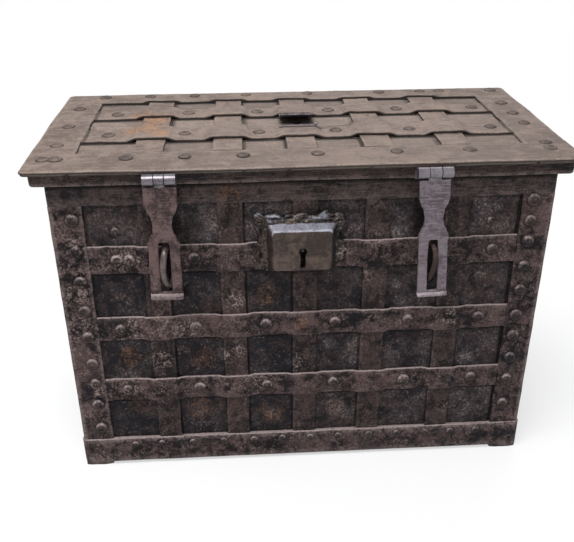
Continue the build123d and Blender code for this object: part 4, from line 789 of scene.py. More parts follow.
def loop_path(half_x, half_y, radius):
    """Rounded rectangle about the middle of the body: places and outward directions."""
    arcs = []
    for index, (side_x, side_y) in enumerate(((1, -1), (1, 1), (-1, 1), (-1, -1))):
        centre = Vector((side_x * (half_x - radius), SHIFT + side_y * (half_y - radius), 0))
        turns = [math.radians(90 * (index - 1) + 22.5 * part) for part in range(5)]
        outs = [Vector((math.cos(turn), math.sin(turn), 0)) for turn in turns]
        arcs.append([(centre + out * radius, out) for out in outs])
    path = []
    for arc, after in zip(arcs, arcs[1:] + arcs[:1]):
        start, out = arc[-1]
        end = after[0][0]
        steps = max(1, round((end - start).length / 5.0))
        path += arc + [(start.lerp(end, i / steps), out) for i in range(1, steps)]
    return path


def band(path, section, seed, wave, low, high, depth, reach, key):
    """Closed band round the chest: a section of (out, height, wear and painted highlight) swept along a loop.

    What lies between the heights low and high wanders by a depth, over a reach."""
    rows = []
    run = 0.0
    for index, (place, out) in enumerate(path):
        if index:
            run += (place - path[index - 1][0]).length
        bend = depth * uneven(place.x / reach, place.y / reach, key)
        row = []
        for j, (offset, height, wear) in enumerate(section):
            push = wave * uneven(run / 35, seed, j * 0.35) if offset > 0 else 0.0
            drop = bend if low < height < high else 0.0
            row.append((place + out * (offset + push) + UP * (height + drop), wear, 0.0))
        rows.append(row)
    return Shell().grid(rows, around=True)


def bands():
    """Plinth, collar and the lid's skirt."""
    body_loop = loop_path(SHEET_X, SHEET_Y, 2.0)
    # The plinth's edges, its top one most, carry wear and a painted highlight
    section = ((0, 6.0, 0), (5.2, 6.0, 0.6), (6.0, 7.0, 0.8), (6.0, 18.0, 0), (6.1, 30.0, 0),
               (6.0, 42.0, 0.1), (6.0, 49.6, 0.9), (5.2, 50.7, 1.0), (3.0, PLINTH_TOP, 0.6),
               (0, PLINTH_TOP, 0.3))
    plinth = band(body_loop, section, 31, 0.5, 40, 60, 0.9, 45, 3)
    plinth.finish("plinth", "front", "chest", "plinth_band")
    section = ((0, COLLAR_BOTTOM, 0), (3.0, COLLAR_BOTTOM, 0.1), (3.5, 451.0, 0.2), (3.6, 462.0, 0),
               (3.5, 473.0, 0), (3.5, 476.0, 0), (3.5, 479.0, 0), (3.5, 488.0, 0), (3.5, 499.7, 0.3),
               (2.5, 500.6, 0.3), (0, COLLAR_TOP, 0))
    collar = band(body_loop, section, 37, 0.5, 440, 455, 1.0, 55, 7)
    collar.finish("collar", "collar", "chest", "collar_band", grime_and_shade=collar_shadow)
    section = ((0, 484.0, 0.4), (5.0, 484.0, 0.6), (5.9, 485.0, 0.7), (6.0, 490.0, 0), (6.0, 495.0, 0),
               (6.0, LID_UNDER, 0), (0, LID_UNDER, 0))
    skirt = band(loop_path(360.5, 172.5, 3.0), section, 41, 0.7, 480, 492, 1.2, 70, 11)
    skirt.finish("skirt", "skirt", "lid", "lid_skirt")


def collar_shadow(place):
    """Painted shadow of the lid's skirt on the collar's upper part."""
    return 0.9 * smooth((place.z - 473.0) / 5.0) * smooth((497.0 - place.z) / 5.0)


def feet():
    """Corner feet, hammered a little out of square."""
    shell = Shell()
    sides = 24
    for index, group in enumerate(islands("corner_feet")):
        low, high = box_of(group)
        centre, half = (low + high) / 2, (high - low) / 2
        rows = []
        for z, inset in ((low.z, 1.0), (low.z + 0.8, 0.2), (high.z, 0.0)):
            row = []
            for part in range(sides):
                turn = math.tau * part / sides
                c, s = math.cos(turn), math.sin(turn)
                reach = min(1 / max(abs(c), abs(s)),
                            1.32) * (1 - 0.02 * (1 + uneven(c * 2, s * 2, index * 5.0)))
                x = centre.x + c * reach * (half.x - inset)
                y = centre.y + s * reach * (half.y - inset)
                row.append((Vector((x, y, z)), 0.5, 0.0))
            rows.append(row)
        shell.grid(rows)
    shell.finish("feet", "front", "chest", "corner_feet")


def wall_panels():
    """Sheets of the four walls as fine grids, so that their panels carry their own scale, rust, and the
    painted shade and dirt beside the straps.
    """
    shades = {"front": panel_shade_and_dirt, "back": back_shade_and_dirt, "left": end_shade_and_dirt, "right": end_shade_and_dirt}
    levels = span(SHEET_FOOT, SHEET_HEAD, 3.0)
    tall = len(levels)
    for wall in WALLS:
        columns = span(-wall.half, wall.half, 3.0)
        wide = len(columns)
        shell = Shell()
        for z in levels:
            for place in columns:
                dent = 0.5 * abs(uneven(place / 40, 3, z / 40))
                shell.corners.append((wall.at(place, z, -dent), 0.0, 0.0))
        for i in range(tall - 1):
            for j in range(wide - 1):
                a = i * wide + j
                shell.faces.append((a, a + 1, a + wide + 1, a + wide))
        rim = [(0, j) for j in range(wide)] + [(i, wide - 1) for i in range(1, tall)]
        rim += [(tall - 1, j) for j in range(wide - 2, -1, -1)] + [(i, 0) for i in range(tall - 2, 0, -1)]
        back = len(shell.corners)
        shell.corners += [(wall.at(columns[j], levels[i], -SHEET_THICK), 0.0, 0.0) for i, j in rim]
        for k, (i, j) in enumerate(rim):
            after = (k + 1) % len(rim)
            far_i, far_j = rim[after]
            shell.faces.append((i * wide + j, back + k, back + after, far_i * wide + far_j))
        shell.faces.append(tuple(range(back, back + len(rim))))
        shell.finish(wall.name + "_panels", "panel", "chest", wall.name + "_sheet", grime_and_shade=shades[wall.name],
                     paint=panel_fields)


def line(place, middle, strength, fade):
    """Strength of a dark line at a distance from its middle."""
    return strength - abs(place - middle) / fade


def row_gaps(z):
    """Painted shadows under the level straps and under the collar."""
    return max([line(z, low - 1.0, 1.3, 2.6) for low,
                high in ROW_SPANS] + [line(z, COLLAR_BOTTOM - 1.0, 0.9, 2.2)])


def strap_gaps(along, z, middles, edge):
    """Painted shade and dirt in the gaps beside a plain wall's straps, at a place along it and a height, with
    the painted shadows under the level straps and the collar.
    """
    patchy = 0.7 + 0.8 * uneven(along / 45, 0, z / 30)
    gaps = [line(abs(along), edge, 1.1, 2.2)]
    gaps += [line(abs(along - middle), UPRIGHT_GAP, 1.1, 2.0) for middle in middles]
    return clamp(max(row_gaps(z), patchy * max(gaps)))


def back_shade_and_dirt(place):
    return strap_gaps(place.x, place.z, VERTICAL_XS, ANGLE_X - 1.2)


def end_shade_and_dirt(place):
    return strap_gaps(place.y - SHIFT, place.z, END_VERTICAL_YS, ANGLE_Y - 1.0)


def panel_shade_and_dirt(place):
    """Painted shade and dirt beside the front's straps, stronger on one side of each, and painted shadows
    under the level straps, the collar, the hasps and the lock.
    """
    patchy = 0.75 + 0.9 * uneven(place.x / 45, 0, place.z / 30)
    gaps = [line(place.x, -ANGLE_X + 1.2, 1.1, 2.2)]
    for middle in VERTICAL_XS:
        side = UPRIGHT_GAP if middle > -60 else -UPRIGHT_GAP
        gaps += [line(place.x, middle - side, 1.25, 2.0), 0.5 * line(place.x, middle + side, 1.0, 1.8)]
    right = line(place.x, ANGLE_X - 2.2, 1.5, 2.4)
    return clamp(max(row_gaps(place.z), right, patchy * max(0.0, *gaps), hasp_shade(place)))


# Painted shadows behind the hasps' slots, beside their necks, and under their lips and the lock.
# Each is a middle, half sizes, how far the shade fades, and its strength
HASP_SHADES = ((-192.5, 369.0, 9.0, 38.0, 6.0, 0.95), (177.0, 357.0, 9.0, 42.0, 6.0, 0.95),
               (-193.0, 432.0, 16.0, 22.0, 9.0, 0.75), (172.0, 430.0, 16.0, 26.0, 9.0, 0.75),
               (-190.0, 314.0, 18.0, 3.0, 10.0, 0.85), (176.0, 304.0, 15.0, 2.0, 8.0, 0.6),
               (-20.0, 346.0, 32.0, 2.0, 9.0, 0.7))


def hasp_shade(place):
    """Painted shadow on the front, cast by the hasps and the lock."""
    best = 0.0
    for x, z, half_x, half_z, reach, strength in HASP_SHADES:
        gap = max(abs(place.x - x) - half_x, abs(place.z - z) - half_z)
        best = max(best, strength * smooth(1.0 - max(0.0, gap) / reach))
    return best


# Rivets

def rivets():
    """Hammered heads of the rivets. Those on the collar are low and take its colour."""
    plans = (("front_rivets", "rivet", "chest", 1.0), ("back_rivets", "rivet", "chest", 1.0),
             ("end_rivets", "rivet", "chest", 1.0), ("lid_rivets", "lid_rivet", "lid", 0.5))
    low_heads = Shell()
    for name, key, body, soil_and_shade_share in plans:
        shell = Shell()
        for index, group in enumerate(islands(name)):
            low, high = box_of(group)
            size = high - low
            thin = min(range(3), key=lambda i: size[i])
            middle = (low + high) / 2
            inner = SHIFT if thin == 1 else 0.0
            axis = Vector((0, 0, 0))
            axis[thin] = 1 if thin == 2 or middle[thin] > inner else -1
            base = middle - axis * size[thin] / 2
            if body == "chest" and middle.z > COLLAR_BOTTOM:
                low_heads.dome(base, axis, max(size) * 0.46, size[thin] * 0.7, index, 0.3, 0.3)
            else:
                shell.dome(base, axis, max(size) * 0.49, size[thin] * 0.97, index * 7 + len(name), 1.0,
                           soil_and_shade_share)
        shell.finish(name.replace("rivets", "rivet_heads"), key, body, name)
    low_heads.finish("collar_rivet_heads", "collar", "chest")


# Lid

LID_X = 377.5
LID_MIDDLE_Y = SHIFT + 3.5
LID_HALF_Y = 188.5
INNER_X = 313.5
INNER_FRONT_Y = SHIFT - 112.0
INNER_BACK_Y = SHIFT + 139.0
LID_CROSSINGS = (-214.9, -105.0, 0.0, 108.15, 218.05)
LID_CROSSING_WIDTH = 42.0
LID_CROSSING_GAP = LID_CROSSING_WIDTH / 2 + 1.8
LONG_SPANS = ((SHIFT - 62.975, SHIFT - 7.975), (SHIFT + 47.955, SHIFT + 92.955))
KEY_Y = SHIFT + 20.0
KEY_RADIUS = 7.5


def lid_loop():
    """Outer outline of the lid with rounded corners, slightly uneven."""
    points = []
    for place, out in loop_path(LID_X - 0.6, LID_HALF_Y - 0.6, 9.0):
        place = place + Vector((0, LID_MIDDLE_Y - SHIFT, 0))
        push = 1.6 * uneven(place.x / 80, place.y / 80, 21) + 0.6 * uneven(place.x / 14, place.y / 14, 23)
        points.append(place + out * (min(push, 0.6) - 0.4))
    return points


def lid_bow(place):
    """Gentle sag of the lid's top."""
    front = smooth((INNER_FRONT_Y + 40 - place.y) / 120)
    return -1.6 * front * math.exp(-((place.x + 120) / 170) ** 2) + 0.5 * uneven(place.x / 90, place.y / 90,
                                                                                 2)


def lid_frame():
    """Border straps of the lid as one frame with wavy inner edges."""
    middle = (INNER_FRONT_Y + INNER_BACK_Y) / 2
    half = (INNER_BACK_Y - INNER_FRONT_Y) / 2
    # Section from the outer edge to the inner one: share of the way, height, wear with painted highlight, and
    # dirt with painted shade
    section = [(0.0, 0.0, 0.0, 1.0), (0.0, STRAP - 1.6, 0.2, 0.75), (0.012, STRAP - 0.45, 0.9, 0.0),
               (0.03, STRAP, 0.5, 0.0)]
    section += [(share, STRAP, 0.0, 0.0) for share in (0.1, 0.22, 0.36, 0.5, 0.64, 0.78, 0.9)]
    section += [(0.972, STRAP, 0.4, 0.1), (0.990, STRAP - 0.5, 0.3, 0.7), (1.0, STRAP - 1.3, 0.0, 1.0),
                (1.0, 0.0, 0.0, 1.0)]
    rows = []
    for place in lid_loop():
        u = max(-1, min(1, place.x / (LID_X - 3)))
        v = max(-1, min(1, (place.y - LID_MIDDLE_Y) / (LID_HALF_Y - 3)))
        inner = Vector((u * INNER_X, middle + v * half, 0))
        wavy = 2.2 * uneven(inner.x / 38, inner.y / 38, 31) + 0.8 * uneven(inner.x / 11, inner.y / 11, 33)
        inner += Vector((u if abs(u) >= abs(v) else 0, v if abs(v) > abs(u) else 0, 0)) * wavy
        step = 0.0
        if v > 0.9 and abs(u) < 0.97:
            step = joggle(inner.x, LID_CROSSINGS, LID_CROSSING_WIDTH, STRAP, run=12.0)
        row = []
        for share, height, wear, dirt in section:
            point = place.lerp(inner, share)
            lump = 0.35 * uneven(point.x / 24, point.y / 24, 17) if height == STRAP else 0.0
            if share > 0.95:
                point.y -= step * 0.7
            lift = step * smooth((share - 0.4) / 0.5) if height > 0 else 0.0
            point.z = LID_PLATE + height + lump + lid_bow(point) + lift
            row.append((point, wear, dirt if place.y > INNER_FRONT_Y or share < 0.5 else dirt * 0.5))
        rows.append(row)
    Shell().grid(rows, around=True).finish("lid_frame", "lid", "lid", "lid_border_straps", grime_and_shade=front_border_darkening)


def lid_plate():
    """Sheet under the straps of the lid, with the keyhole cut through."""
    middle = Vector((0, SHIFT, 0))
    top_shares = [1.0, 0.96] + [0.92 - 0.02 * step for step in range(45)] + [0.01, 0.0]
    rows = []
    for outer in lid_loop():
        edge = outer + (middle - outer) * 0.004
        inner = key_edge(edge)
        row = []
        for share in top_shares:
            point = inner.lerp(edge, share)
            bow = lid_bow(point) if share > 0.05 else 0.0
            row.append((Vector((point.x, point.y, LID_PLATE - 0.05 + bow)), 0.0, 0.0))
        for share in (0.0, 0.3, 0.8, 1.0):
            point = inner.lerp(edge, share)
            bow = lid_bow(point) * 0.5 if share > 0.9 else 0.0
            row.append((Vector((point.x, point.y, LID_UNDER + bow)), 0.0, 0.0))
        rows.append(row)
    Shell().grid(rows, around=True).finish("lid_plate", "lid_panel", "lid", "lid_sheet", grime_and_shade=lid_shade_and_dirt)


def key_edge(place):
    """Where a ray from the keyhole's middle towards a place leaves the keyhole."""
    middle = Vector((0, KEY_Y - 4.0, 0))
    ray = (place - middle) * Vector((1, 1, 0))
    ray.normalize()
    reach = 1.0
    while inside_key(middle + ray * reach):
        reach += 0.4
    return middle + ray * reach


def inside_key(point):
    if math.hypot(point.x, point.y - KEY_Y) < KEY_RADIUS:
        return True
    return abs(point.x) < 4.0 and KEY_Y - 18.5 < point.y < KEY_Y


def front_border_darkening(place):
    """Slightly darker tone on the lid's front border strap."""
    return 0.10 * smooth((LONG_SPANS[0][0] - place.y) / 6.0)


def lid_shade_and_dirt(place):
    """Painted shade and dirt beside the straps of the lid, painted shadow in the recess under the keyhole
    cover, painted shade on the sheet's underside and back row, and a darker front row.
    """
    # Painted shade on the sheet's edge, underside and keyhole walls
    if place.z < LID_PLATE - 2.0:
        return 0.9
    dirts = [line(place.y, INNER_BACK_Y - 2.0, 1.4, 4.0), border_line(place)]
    for middle in LID_CROSSINGS:
        side = LID_CROSSING_GAP if middle < -50 else -LID_CROSSING_GAP
        dirts += [line(place.x, middle + side, 1.3, 3.2), line(place.x, middle - side, 0.5, 3.0)]
    for low, high in LONG_SPANS:
        dirts += [line(place.y, low - 2.0, 1.5, 4.0), line(place.y, high + 1.5, 0.7, 2.5)]
    # Painted shadow of the keyhole cover, painted shade on the back row, darker front row
    under_cover = max(abs(place.x - 5.0) / 22.0, abs(place.y - SHIFT - 27.0) / 17.0)
    dirts += [min(0.7, 2.4 - 2.0 * under_cover), 0.26 * smooth((place.y - LONG_SPANS[1][1]) / 6.0),
              0.16 * smooth((LONG_SPANS[0][0] - place.y) / 6.0)]
    return clamp(max(dirts))


def border_line(place):
    """Painted shade and dirt lines where the long straps run under the border, and on the front one beside
    the keyhole.
    """
    edge = INNER_X - 1.5 + 2.0 * uneven(place.x / 300, place.y / 30, 35)
    beside_key = smooth((place.x - 40.0) / 10.0) * smooth((88.0 - place.x) / 6.0)
    crease = beside_key * line(place.y, SHIFT - 13.0, 1.5, 2.0)
    return clamp(max(crease, line(abs(place.x), edge, 1.5, 2.2)))


def keyhole_dip(place):
    """The front long strap lies flat again behind its crossing, in front of the keyhole."""
    if place.y >= KEY_Y:
        return 0.0
    beside = smooth((42.0 - abs(place.x - 4.0)) / 14.0)
    return -4.4 * beside * smooth((place.y - SHIFT + 32.0) / 14.0)


def keyhole_trim(place):
    """The front long strap is narrower beside the keyhole."""
    return -4.0 * smooth((place.x + 40.0) / 14.0) * smooth((86.0 - place.x) / 14.0)


def lid_straps():
    """Cross straps, and the two long straps that step over them."""
    shell = Shell()
    crossings = islands("lid_cross_straps")
    for seed, group in enumerate(crossings, 121):
        low, high = box_of(group)
        middle = (low.x + high.x) / 2
        stations = [Vector((middle, y, LID_PLATE)) for y in span(low.y, high.y, 4.0)]
        # Each crossing strap: painted shade and dirt, heavier along one edge
        ribbon(shell, stations, Vector((1, 0, 0)), UP, high.x - low.x, seed, 1.2, hump=lid_bow,
               wear=(0.4, 0.3), dirt=(0.3, 1.0) if middle < -50 else (1.0, 0.3))
    shell.finish("lid_crossing_straps", "lid", "lid", "lid_cross_straps")
    shell = Shell()
    for seed, (low, high) in enumerate(LONG_SPANS, 121 + len(crossings)):
        stations = []
        for x in span(-INNER_X - 1.0, INNER_X + 1.0, 4.0):
            rise = joggle(x, LID_CROSSINGS, LID_CROSSING_WIDTH, 4.6, run=15.0)
            stations.append(Vector((x, (low + high) / 2, LID_PLATE + rise)))
        # Long straps: painted shade and dirt along both edges, most on the front one
        ribbon(shell, stations, Vector((0, 1, 0)), UP, high - low, seed, 2.4, wear=(0.3, 0.8),
               dirt=(1.0, 0.8), hump=keyhole_dip, trim=keyhole_trim if low < SHIFT else None)
    shell.finish("lid_long_bands", "lid", "lid", "lid_long_straps", grime_and_shade=border_line)


def keyhole_spring():
    """Flat spring in front of the lid's keyhole, rolled up at its right end."""
    low, high = (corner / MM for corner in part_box("keyhole_spring"))
    roll = 3.4
    half_thick = 0.8
    eye_x = high.x - roll
    path = [(x, half_thick + 1.2 * math.sin(math.pi * (x - low.x) / (eye_x - low.x)), 90.0)
            for x in span(low.x, eye_x, 4.0)]
    for turn in span(-70.0, 350.0, 18.0):
        radius = roll - half_thick - 0.0045 * (turn + 90.0)
        angle = math.radians(turn)
        path.append((eye_x + radius * math.cos(angle), roll + radius * math.sin(angle), turn + 180.0))
    section = ((-1, -0.8, 0.8), (-0.9, -1, 0.4), (0.9, -1, 0.4), (1, -0.8, 0.8), (1, 0.8, 0.9), (0.9, 1, 0.5),
               (-0.9, 1, 0.5), (-1, 0.8, 0.9))
    rows = []
    for x, up, facing in path:
        wide = 2.0 + 1.5 * smooth((x - eye_x + 12.0) / 12.0)
        turn = math.radians(facing)
        out = Vector((math.cos(turn), 0, math.sin(turn)))
        centre = Vector((x, (low.y + high.y) / 2, LID_PLATE + up))
        rows.append([(centre + Vector((0, a * wide, 0)) + out * (b * half_thick), wear, 0.0)
                     for a, b, wear in section])
    Shell().grid(rows).finish("keyhole_spring_strip", "cover", "lid", "keyhole_spring",
                              paint=lambda place: (0, 0, 0.3))


# Hasps, staples and lock

HASP_PIVOT_Y = SHIFT - 194.7
HASP_PIVOT_Z = 497.0

# Widening of a hasp's half width at distances below its pivot
HASP_KEYS = ((8, 0.0), (37, 0.0), (42, -2.0), (54, -7.6), (66, -9.4), (75, -8.0), (84, -3.2), (90, -0.4),
             (94, 0.0), (101, -1.0), (140, -0.3), (200, 0.0))


def hasp_half_width(drop, full, pinch):
    """Half width of a hasp at a distance below its pivot."""
    for (a, one), (b, two) in zip(HASP_KEYS, HASP_KEYS[1:]):
        if a <= drop <= b:
            return full + (one + (two - one) * smooth((drop - a) / (b - a))) * pinch
    return full


def hasps():
    hasp("left", -193.55, 0, full=22.0, pinch=1.0, length=167.5, lean=-0.5, slot=(89.5, 165.5, 15.4), lip=9.0,
         top_share=0.98, knuckle_width=13.6)
    hasp("right", 169.05, 1, full=20.8, pinch=0.86, length=179.5, lean=3.0, slot=(97.5, 177.5, 15.0), lip=6.0,
         top_share=0.84, knuckle_width=16.6)


def hasp(side, x, seed, full, pinch, length, lean, slot, lip, top_share, knuckle_width):
    """Necked plate of a hasp with its slot, the lip that turns out at its foot, and its knuckle."""
    body = side + "_hasp"
    key = "hasp_" + side
    pivot = Vector((x, HASP_PIVOT_Y, HASP_PIVOT_Z))
    right, left = [], []
    for drop in span(9.5, length + 2.0, 2.5):
        half = hasp_half_width(drop, full, pinch)
        right.append((half + 0.5 * uneven(drop / 9, seed, 1), -drop))
        left.append((-half + 0.5 * uneven(drop / 9, seed, 4), -drop))
    slot_top, slot_bottom, slot_width = slot
    half = slot_width / 2
    near_side = []
    for drop in span(slot_top + 2, slot_bottom - 2, 3.0):
        taper = top_share + (1 - top_share) * smooth((drop - slot_top) / 30)
        near_side.append((half * taper + 0.35 * uneven(drop / 8, seed, 11), -drop))
    far_side = [(-a + 0.3 * uneven(b / 8, seed, 15), b) for a, b in reversed(near_side)]
    bottom_end = [(half * 0.75, -slot_bottom), (-half * 0.75, -slot_bottom)]
    top_end = [(-half * 0.7 * top_share, -slot_top), (half * 0.7 * top_share, -slot_top)]
    place = Matrix.Translation(pivot * MM) @ Matrix.Rotation(math.radians(-lean), 4, "Y")
    plate = flat_plate(body + "_plate", right + left[::-1], near_side + bottom_end + far_side + top_end, 5.0,
                       0.8, place)
    register(body + "_plate", plate, key, body, body)
    # Section of the lip: out from the plate's middle, up from its foot, and wear with painted highlight
    section = ((2.5, lip, 0.2), (-1.5, lip + 0.6, 0.5), (-3.4, lip * 0.86, 0.9), (-5.6, lip * 0.62, 1.0),
               (-6.5, lip * 0.36, 1.0), (-6.3, lip * 0.12, 0.8), (-5.0, 0.0, 0.4), (0.5, 0.0, 0.1),
               (2.5, 0.8, 0.1))
    half = full + 0.4
    rows = []
    for along in span(-half, half, 2.5):
        end = 1 - 0.16 * smooth((abs(along) - half + 3) / 3)
        foot = -length - lip + 0.7 * uneven(along / 14, seed, 2) + (1 - end) * lip / 2
        rows.append([((place @ (Vector((along, out * end, foot + up * end)) * MM)) / MM, wear, 0.0)
                     for out, up, wear in section])
    Shell().grid(rows).finish(body + "_lip", key, body, angle=60)
    knuckle(body, knuckle_width / 2, pivot)


def knuckle(body, half, pivot):
    """Middle knuckle of a hasp and the neck that joins it to the plate."""
    sides = 28
    rows = []
    for along in (-half, -half + 0.8, 0, half - 0.8, half):
        end = abs(along) > half - 0.2
        radius = 6.8 if end else 7.5
        turns = [math.tau * part / sides for part in range(sides)]
        rows.append([(pivot + Vector((along, radius * math.cos(turn), radius * math.sin(turn))), 0.15,
                      1.0 if end else 0.0) for turn in turns])
    square = ((-1, 1), (-1, -1), (1, -1), (1, 1))
    neck = [[(pivot + Vector((a * half, b * 2.3, -drop)), 0.1, 0.0) for a, b in square]
            for drop in (2.0, 6.0, 9.0, 11.5, 15.0)]
    Shell().grid(rows).grid(neck).finish(body + "_knuckle", "steel", body, angle=40)


def about_middle(points):
    """Places whose depth is given from the middle of the body."""
    return [(x, SHIFT + y, z) for x, y, z in points]


def staples():
    """Bent rods that stand through the slots of the hasps."""
    left = ((-192, -158, 396.5), (-192, -180, 396.5), (-193, -199, 396), (-195, -205.3, 389),
            (-197, -205.3, 374), (-197, -203, 360), (-195, -199, 347), (-191, -193, 341), (-187, -188, 343),
            (-184.5, -181, 350), (-184, -172, 354), (-184, -158, 355))
    tube("left_staple_rod", about_middle(left), 4.4, "staple", "chest", "left_staple")
    right = ((176, -158, 388.5), (176, -180, 388.5), (176, -199, 388), (177, -206, 380), (177, -204, 364),
             (176, -199, 350), (175, -192, 338), (175, -183, 331), (175, -172, 330), (175, -158, 330))
    # The right rod takes the dark skirt iron as painted shade, for it stands in its slot's shade
    tube("right_staple_rod", about_middle(right), 3.5, "skirt", "chest", "right_staple")


LOCK_X, LOCK_Z = -5.5, 383.0
LOCK_BACK = FRONT - STRAP - 2.0
FACE = (82.0, 59.0)
CASE_BASE = (98.0, 73.0)
CASE_DEPTH = 17.0
FACE_DROP = 0.5
CASE_SIDES = 96


def boxed(part, power=22):
    """Direction of a rounded box's outline at one of its sides, as shares of the half sizes."""
    angle = math.tau * (part + 0.5) / CASE_SIDES
    c, s = math.cos(angle), math.sin(angle)
    reach = (abs(c) ** power + abs(s) ** power) ** (-1 / power)
    return c * reach, s * reach


def lock_flanks():
    """Hollow flanks of the false lock, flaring out to the wall."""
    rows = []
    for share in (0.0, 0.08, 0.14, 0.3, 0.5, 0.68, 0.78, 0.85, 0.92, 1.0):
        flare = (1 - share) ** 1.35
        half_x, half_z = (face / 2 + (base - face) / 2 * flare for face, base in zip(FACE, CASE_BASE))
        row = []
        for part in range(CASE_SIDES):
            c, s = boxed(part)
            bulge = 0.9 * uneven(c * 3, s * 3, share) * (1 - share * 0.6)
            place = Vector((LOCK_X + c * (half_x + bulge), LOCK_BACK - CASE_DEPTH * share,
                            LOCK_Z + FACE_DROP * share + s * (half_z + bulge)))
            # Top flank: wear and painted highlight; other flanks: painted shade, most near the wall
            top = smooth((s - 0.75) * 5)
            wear = smooth((share - 0.66) * 6) * (0.1 + 1.3 * top) + 0.12 * top
            dirt = 0.95 * (1 - top) * (1 - 0.75 * share) + (0.35 if share < 0.1 else 0.0)
            row.append((place, wear, dirt))
        rows.append(row)
    shell = Shell().grid(rows, cap=False)
    shell.faces.append(tuple(range(CASE_SIDES)))
    shell.finish("lock_flanks", "case", "chest", "false_lock_case", angle=60)


def on_face(x, depth, z):
    """Place at a depth in front of the case's back, from the middle of its face."""
    return LOCK_X + x, LOCK_BACK - depth, LOCK_Z + FACE_DROP + z


def lock_case():
    """Bevelled false lock: hollow flanks up to a flat face with a keyhole."""
    lock_flanks()
    outline = [(c * (FACE[0] / 2 - 0.1), s * (FACE[1] / 2 - 0.1)) for c, s in map(boxed, range(CASE_SIDES))]
    eye_x, eye_z = 0.6, -1.0
    eye_radius = 5.9
    key = []
    for part in range(15):
        angle = math.radians(-48 + 276 * part / 14)
        key.append((eye_x + eye_radius * math.cos(angle), eye_z + eye_radius * math.sin(angle)))
    key += [(eye_x - 3.4, eye_z - 9), (eye_x - 4.6, eye_z - 25), (eye_x + 4.6, eye_z - 25),
            (eye_x + 3.4, eye_z - 9)]
    plate = flat_plate("lock_face", outline, key, 2.4, 0.6,
                       Matrix.Translation(Vector(on_face(0, 16.4, 0)) * MM))
    register("lock_face", plate, "face", "chest")
    tube("keyhole_rim", [on_face(x, 17.4, z) for x, z in key + key[:2]], 0.45, "fret", "chest")
    pin = [on_face(eye_x, depth, eye_z) for depth in (1.0, 7.0, 13.0)]
    tube("false_lock_pin", pin, 2.1, "fret", "chest")
    foot_z = eye_z - 26.8
    rubbed_and_lit = [on_face(eye_x - 7.5, 17.3, foot_z - 0.4), on_face(eye_x - 3, 17.5, foot_z + 0.3),
            on_face(eye_x + 3, 17.5, foot_z + 0.2), on_face(eye_x + 6.5, 17.3, foot_z)]
    tube("keyhole_worn_lip", rubbed_and_lit, 0.8, "fret", "chest")


def torn_middle(x):
    """Strength of the cream part between the torn plate's grey lobes, at a place along its width."""
    return smooth((x + 34) / 12) * (1 - smooth((x - 6) / 10))


def torn_fields(place):
    """Ochre and pale parts of the torn plate: brown at the left, beige at the right."""
    wander = 0.5 + 0.8 * uneven(place.x / 9, 0, place.z / 9)
    right = smooth((place.x - 32) / 10)
    middle_top = smooth((place.z - 408) / 10) * torn_middle(place.x)
    speckle = 0.5 * max(0.0, wander - 0.25)
    pale = max(0.85 * right * min(1.0, 0.15 + wander), speckle, middle_top * 0.75)
    return min(1.0, middle_top * wander), min(1.0, pale), 0.0


# Outline of the torn plate behind the lock, as shares of its half width and half height
TORN_EDGE = ((-0.97, 0.92), (-0.92, 0.99), (-0.83, 0.96), (-0.80, 0.86), (-0.74, 0.88), (-0.68, 0.90),
             (-0.55, 0.93), (-0.46, 0.90), (-0.40, 0.80), (-0.35, 0.81), (-0.30, 0.90), (-0.20, 0.91),
             (-0.12, 0.88), (-0.03, 0.93), (0.08, 0.94), (0.20, 0.86), (0.33, 0.84), (0.42, 0.91),
             (0.48, 0.98), (0.56, 1.0), (0.64, 0.95), (0.70, 0.89), (0.80, 0.92), (0.88, 0.87), (0.95, 0.74),
             (0.97, 0.60), (0.93, 0.44), (0.87, 0.34), (0.80, 0.28), (0.84, 0.20), (0.91, 0.14), (0.90, 0.02),
             (0.95, -0.12), (1.0, -0.28), (1.0, -0.44), (0.96, -0.60), (0.84, -0.68), (0.72, -0.76),
             (0.70, -0.92), (0.45, -1.0), (0.0, -0.94), (-0.45, -1.0), (-0.58, -0.99), (-0.72, -0.97),
             (-0.84, -0.95), (-0.86, -0.82), (-0.92, -0.66), (-0.95, -0.44), (-0.93, -0.24), (-0.95, -0.08),
             (-0.90, 0.06), (-0.87, 0.26), (-0.92, 0.42), (-0.98, 0.55), (-1.0, 0.76))
TORN_HALF = (66.0, 46.0)
TORN_CENTRE = Vector((-7.0, 0, 391.0))
TORN_BACK = FRONT - STRAP
CURL = Vector((-64.0, 0, 424.0))


def torn_place(turn):
    """Place on the torn outline at a share of the way round, with small bites."""
    at = turn * len(TORN_EDGE)
    index = int(at) % len(TORN_EDGE)
    one, two = TORN_EDGE[index], TORN_EDGE[(index + 1) % len(TORN_EDGE)]
    part = smooth(at - int(at))
    x, z = (a + (b - a) * part for a, b in zip(one, two))
    bite = 1 + 0.018 * uneven(x * 14, z * 14, 3)
    return Vector((x * TORN_HALF[0] * bite, 0, z * TORN_HALF[1] * bite))


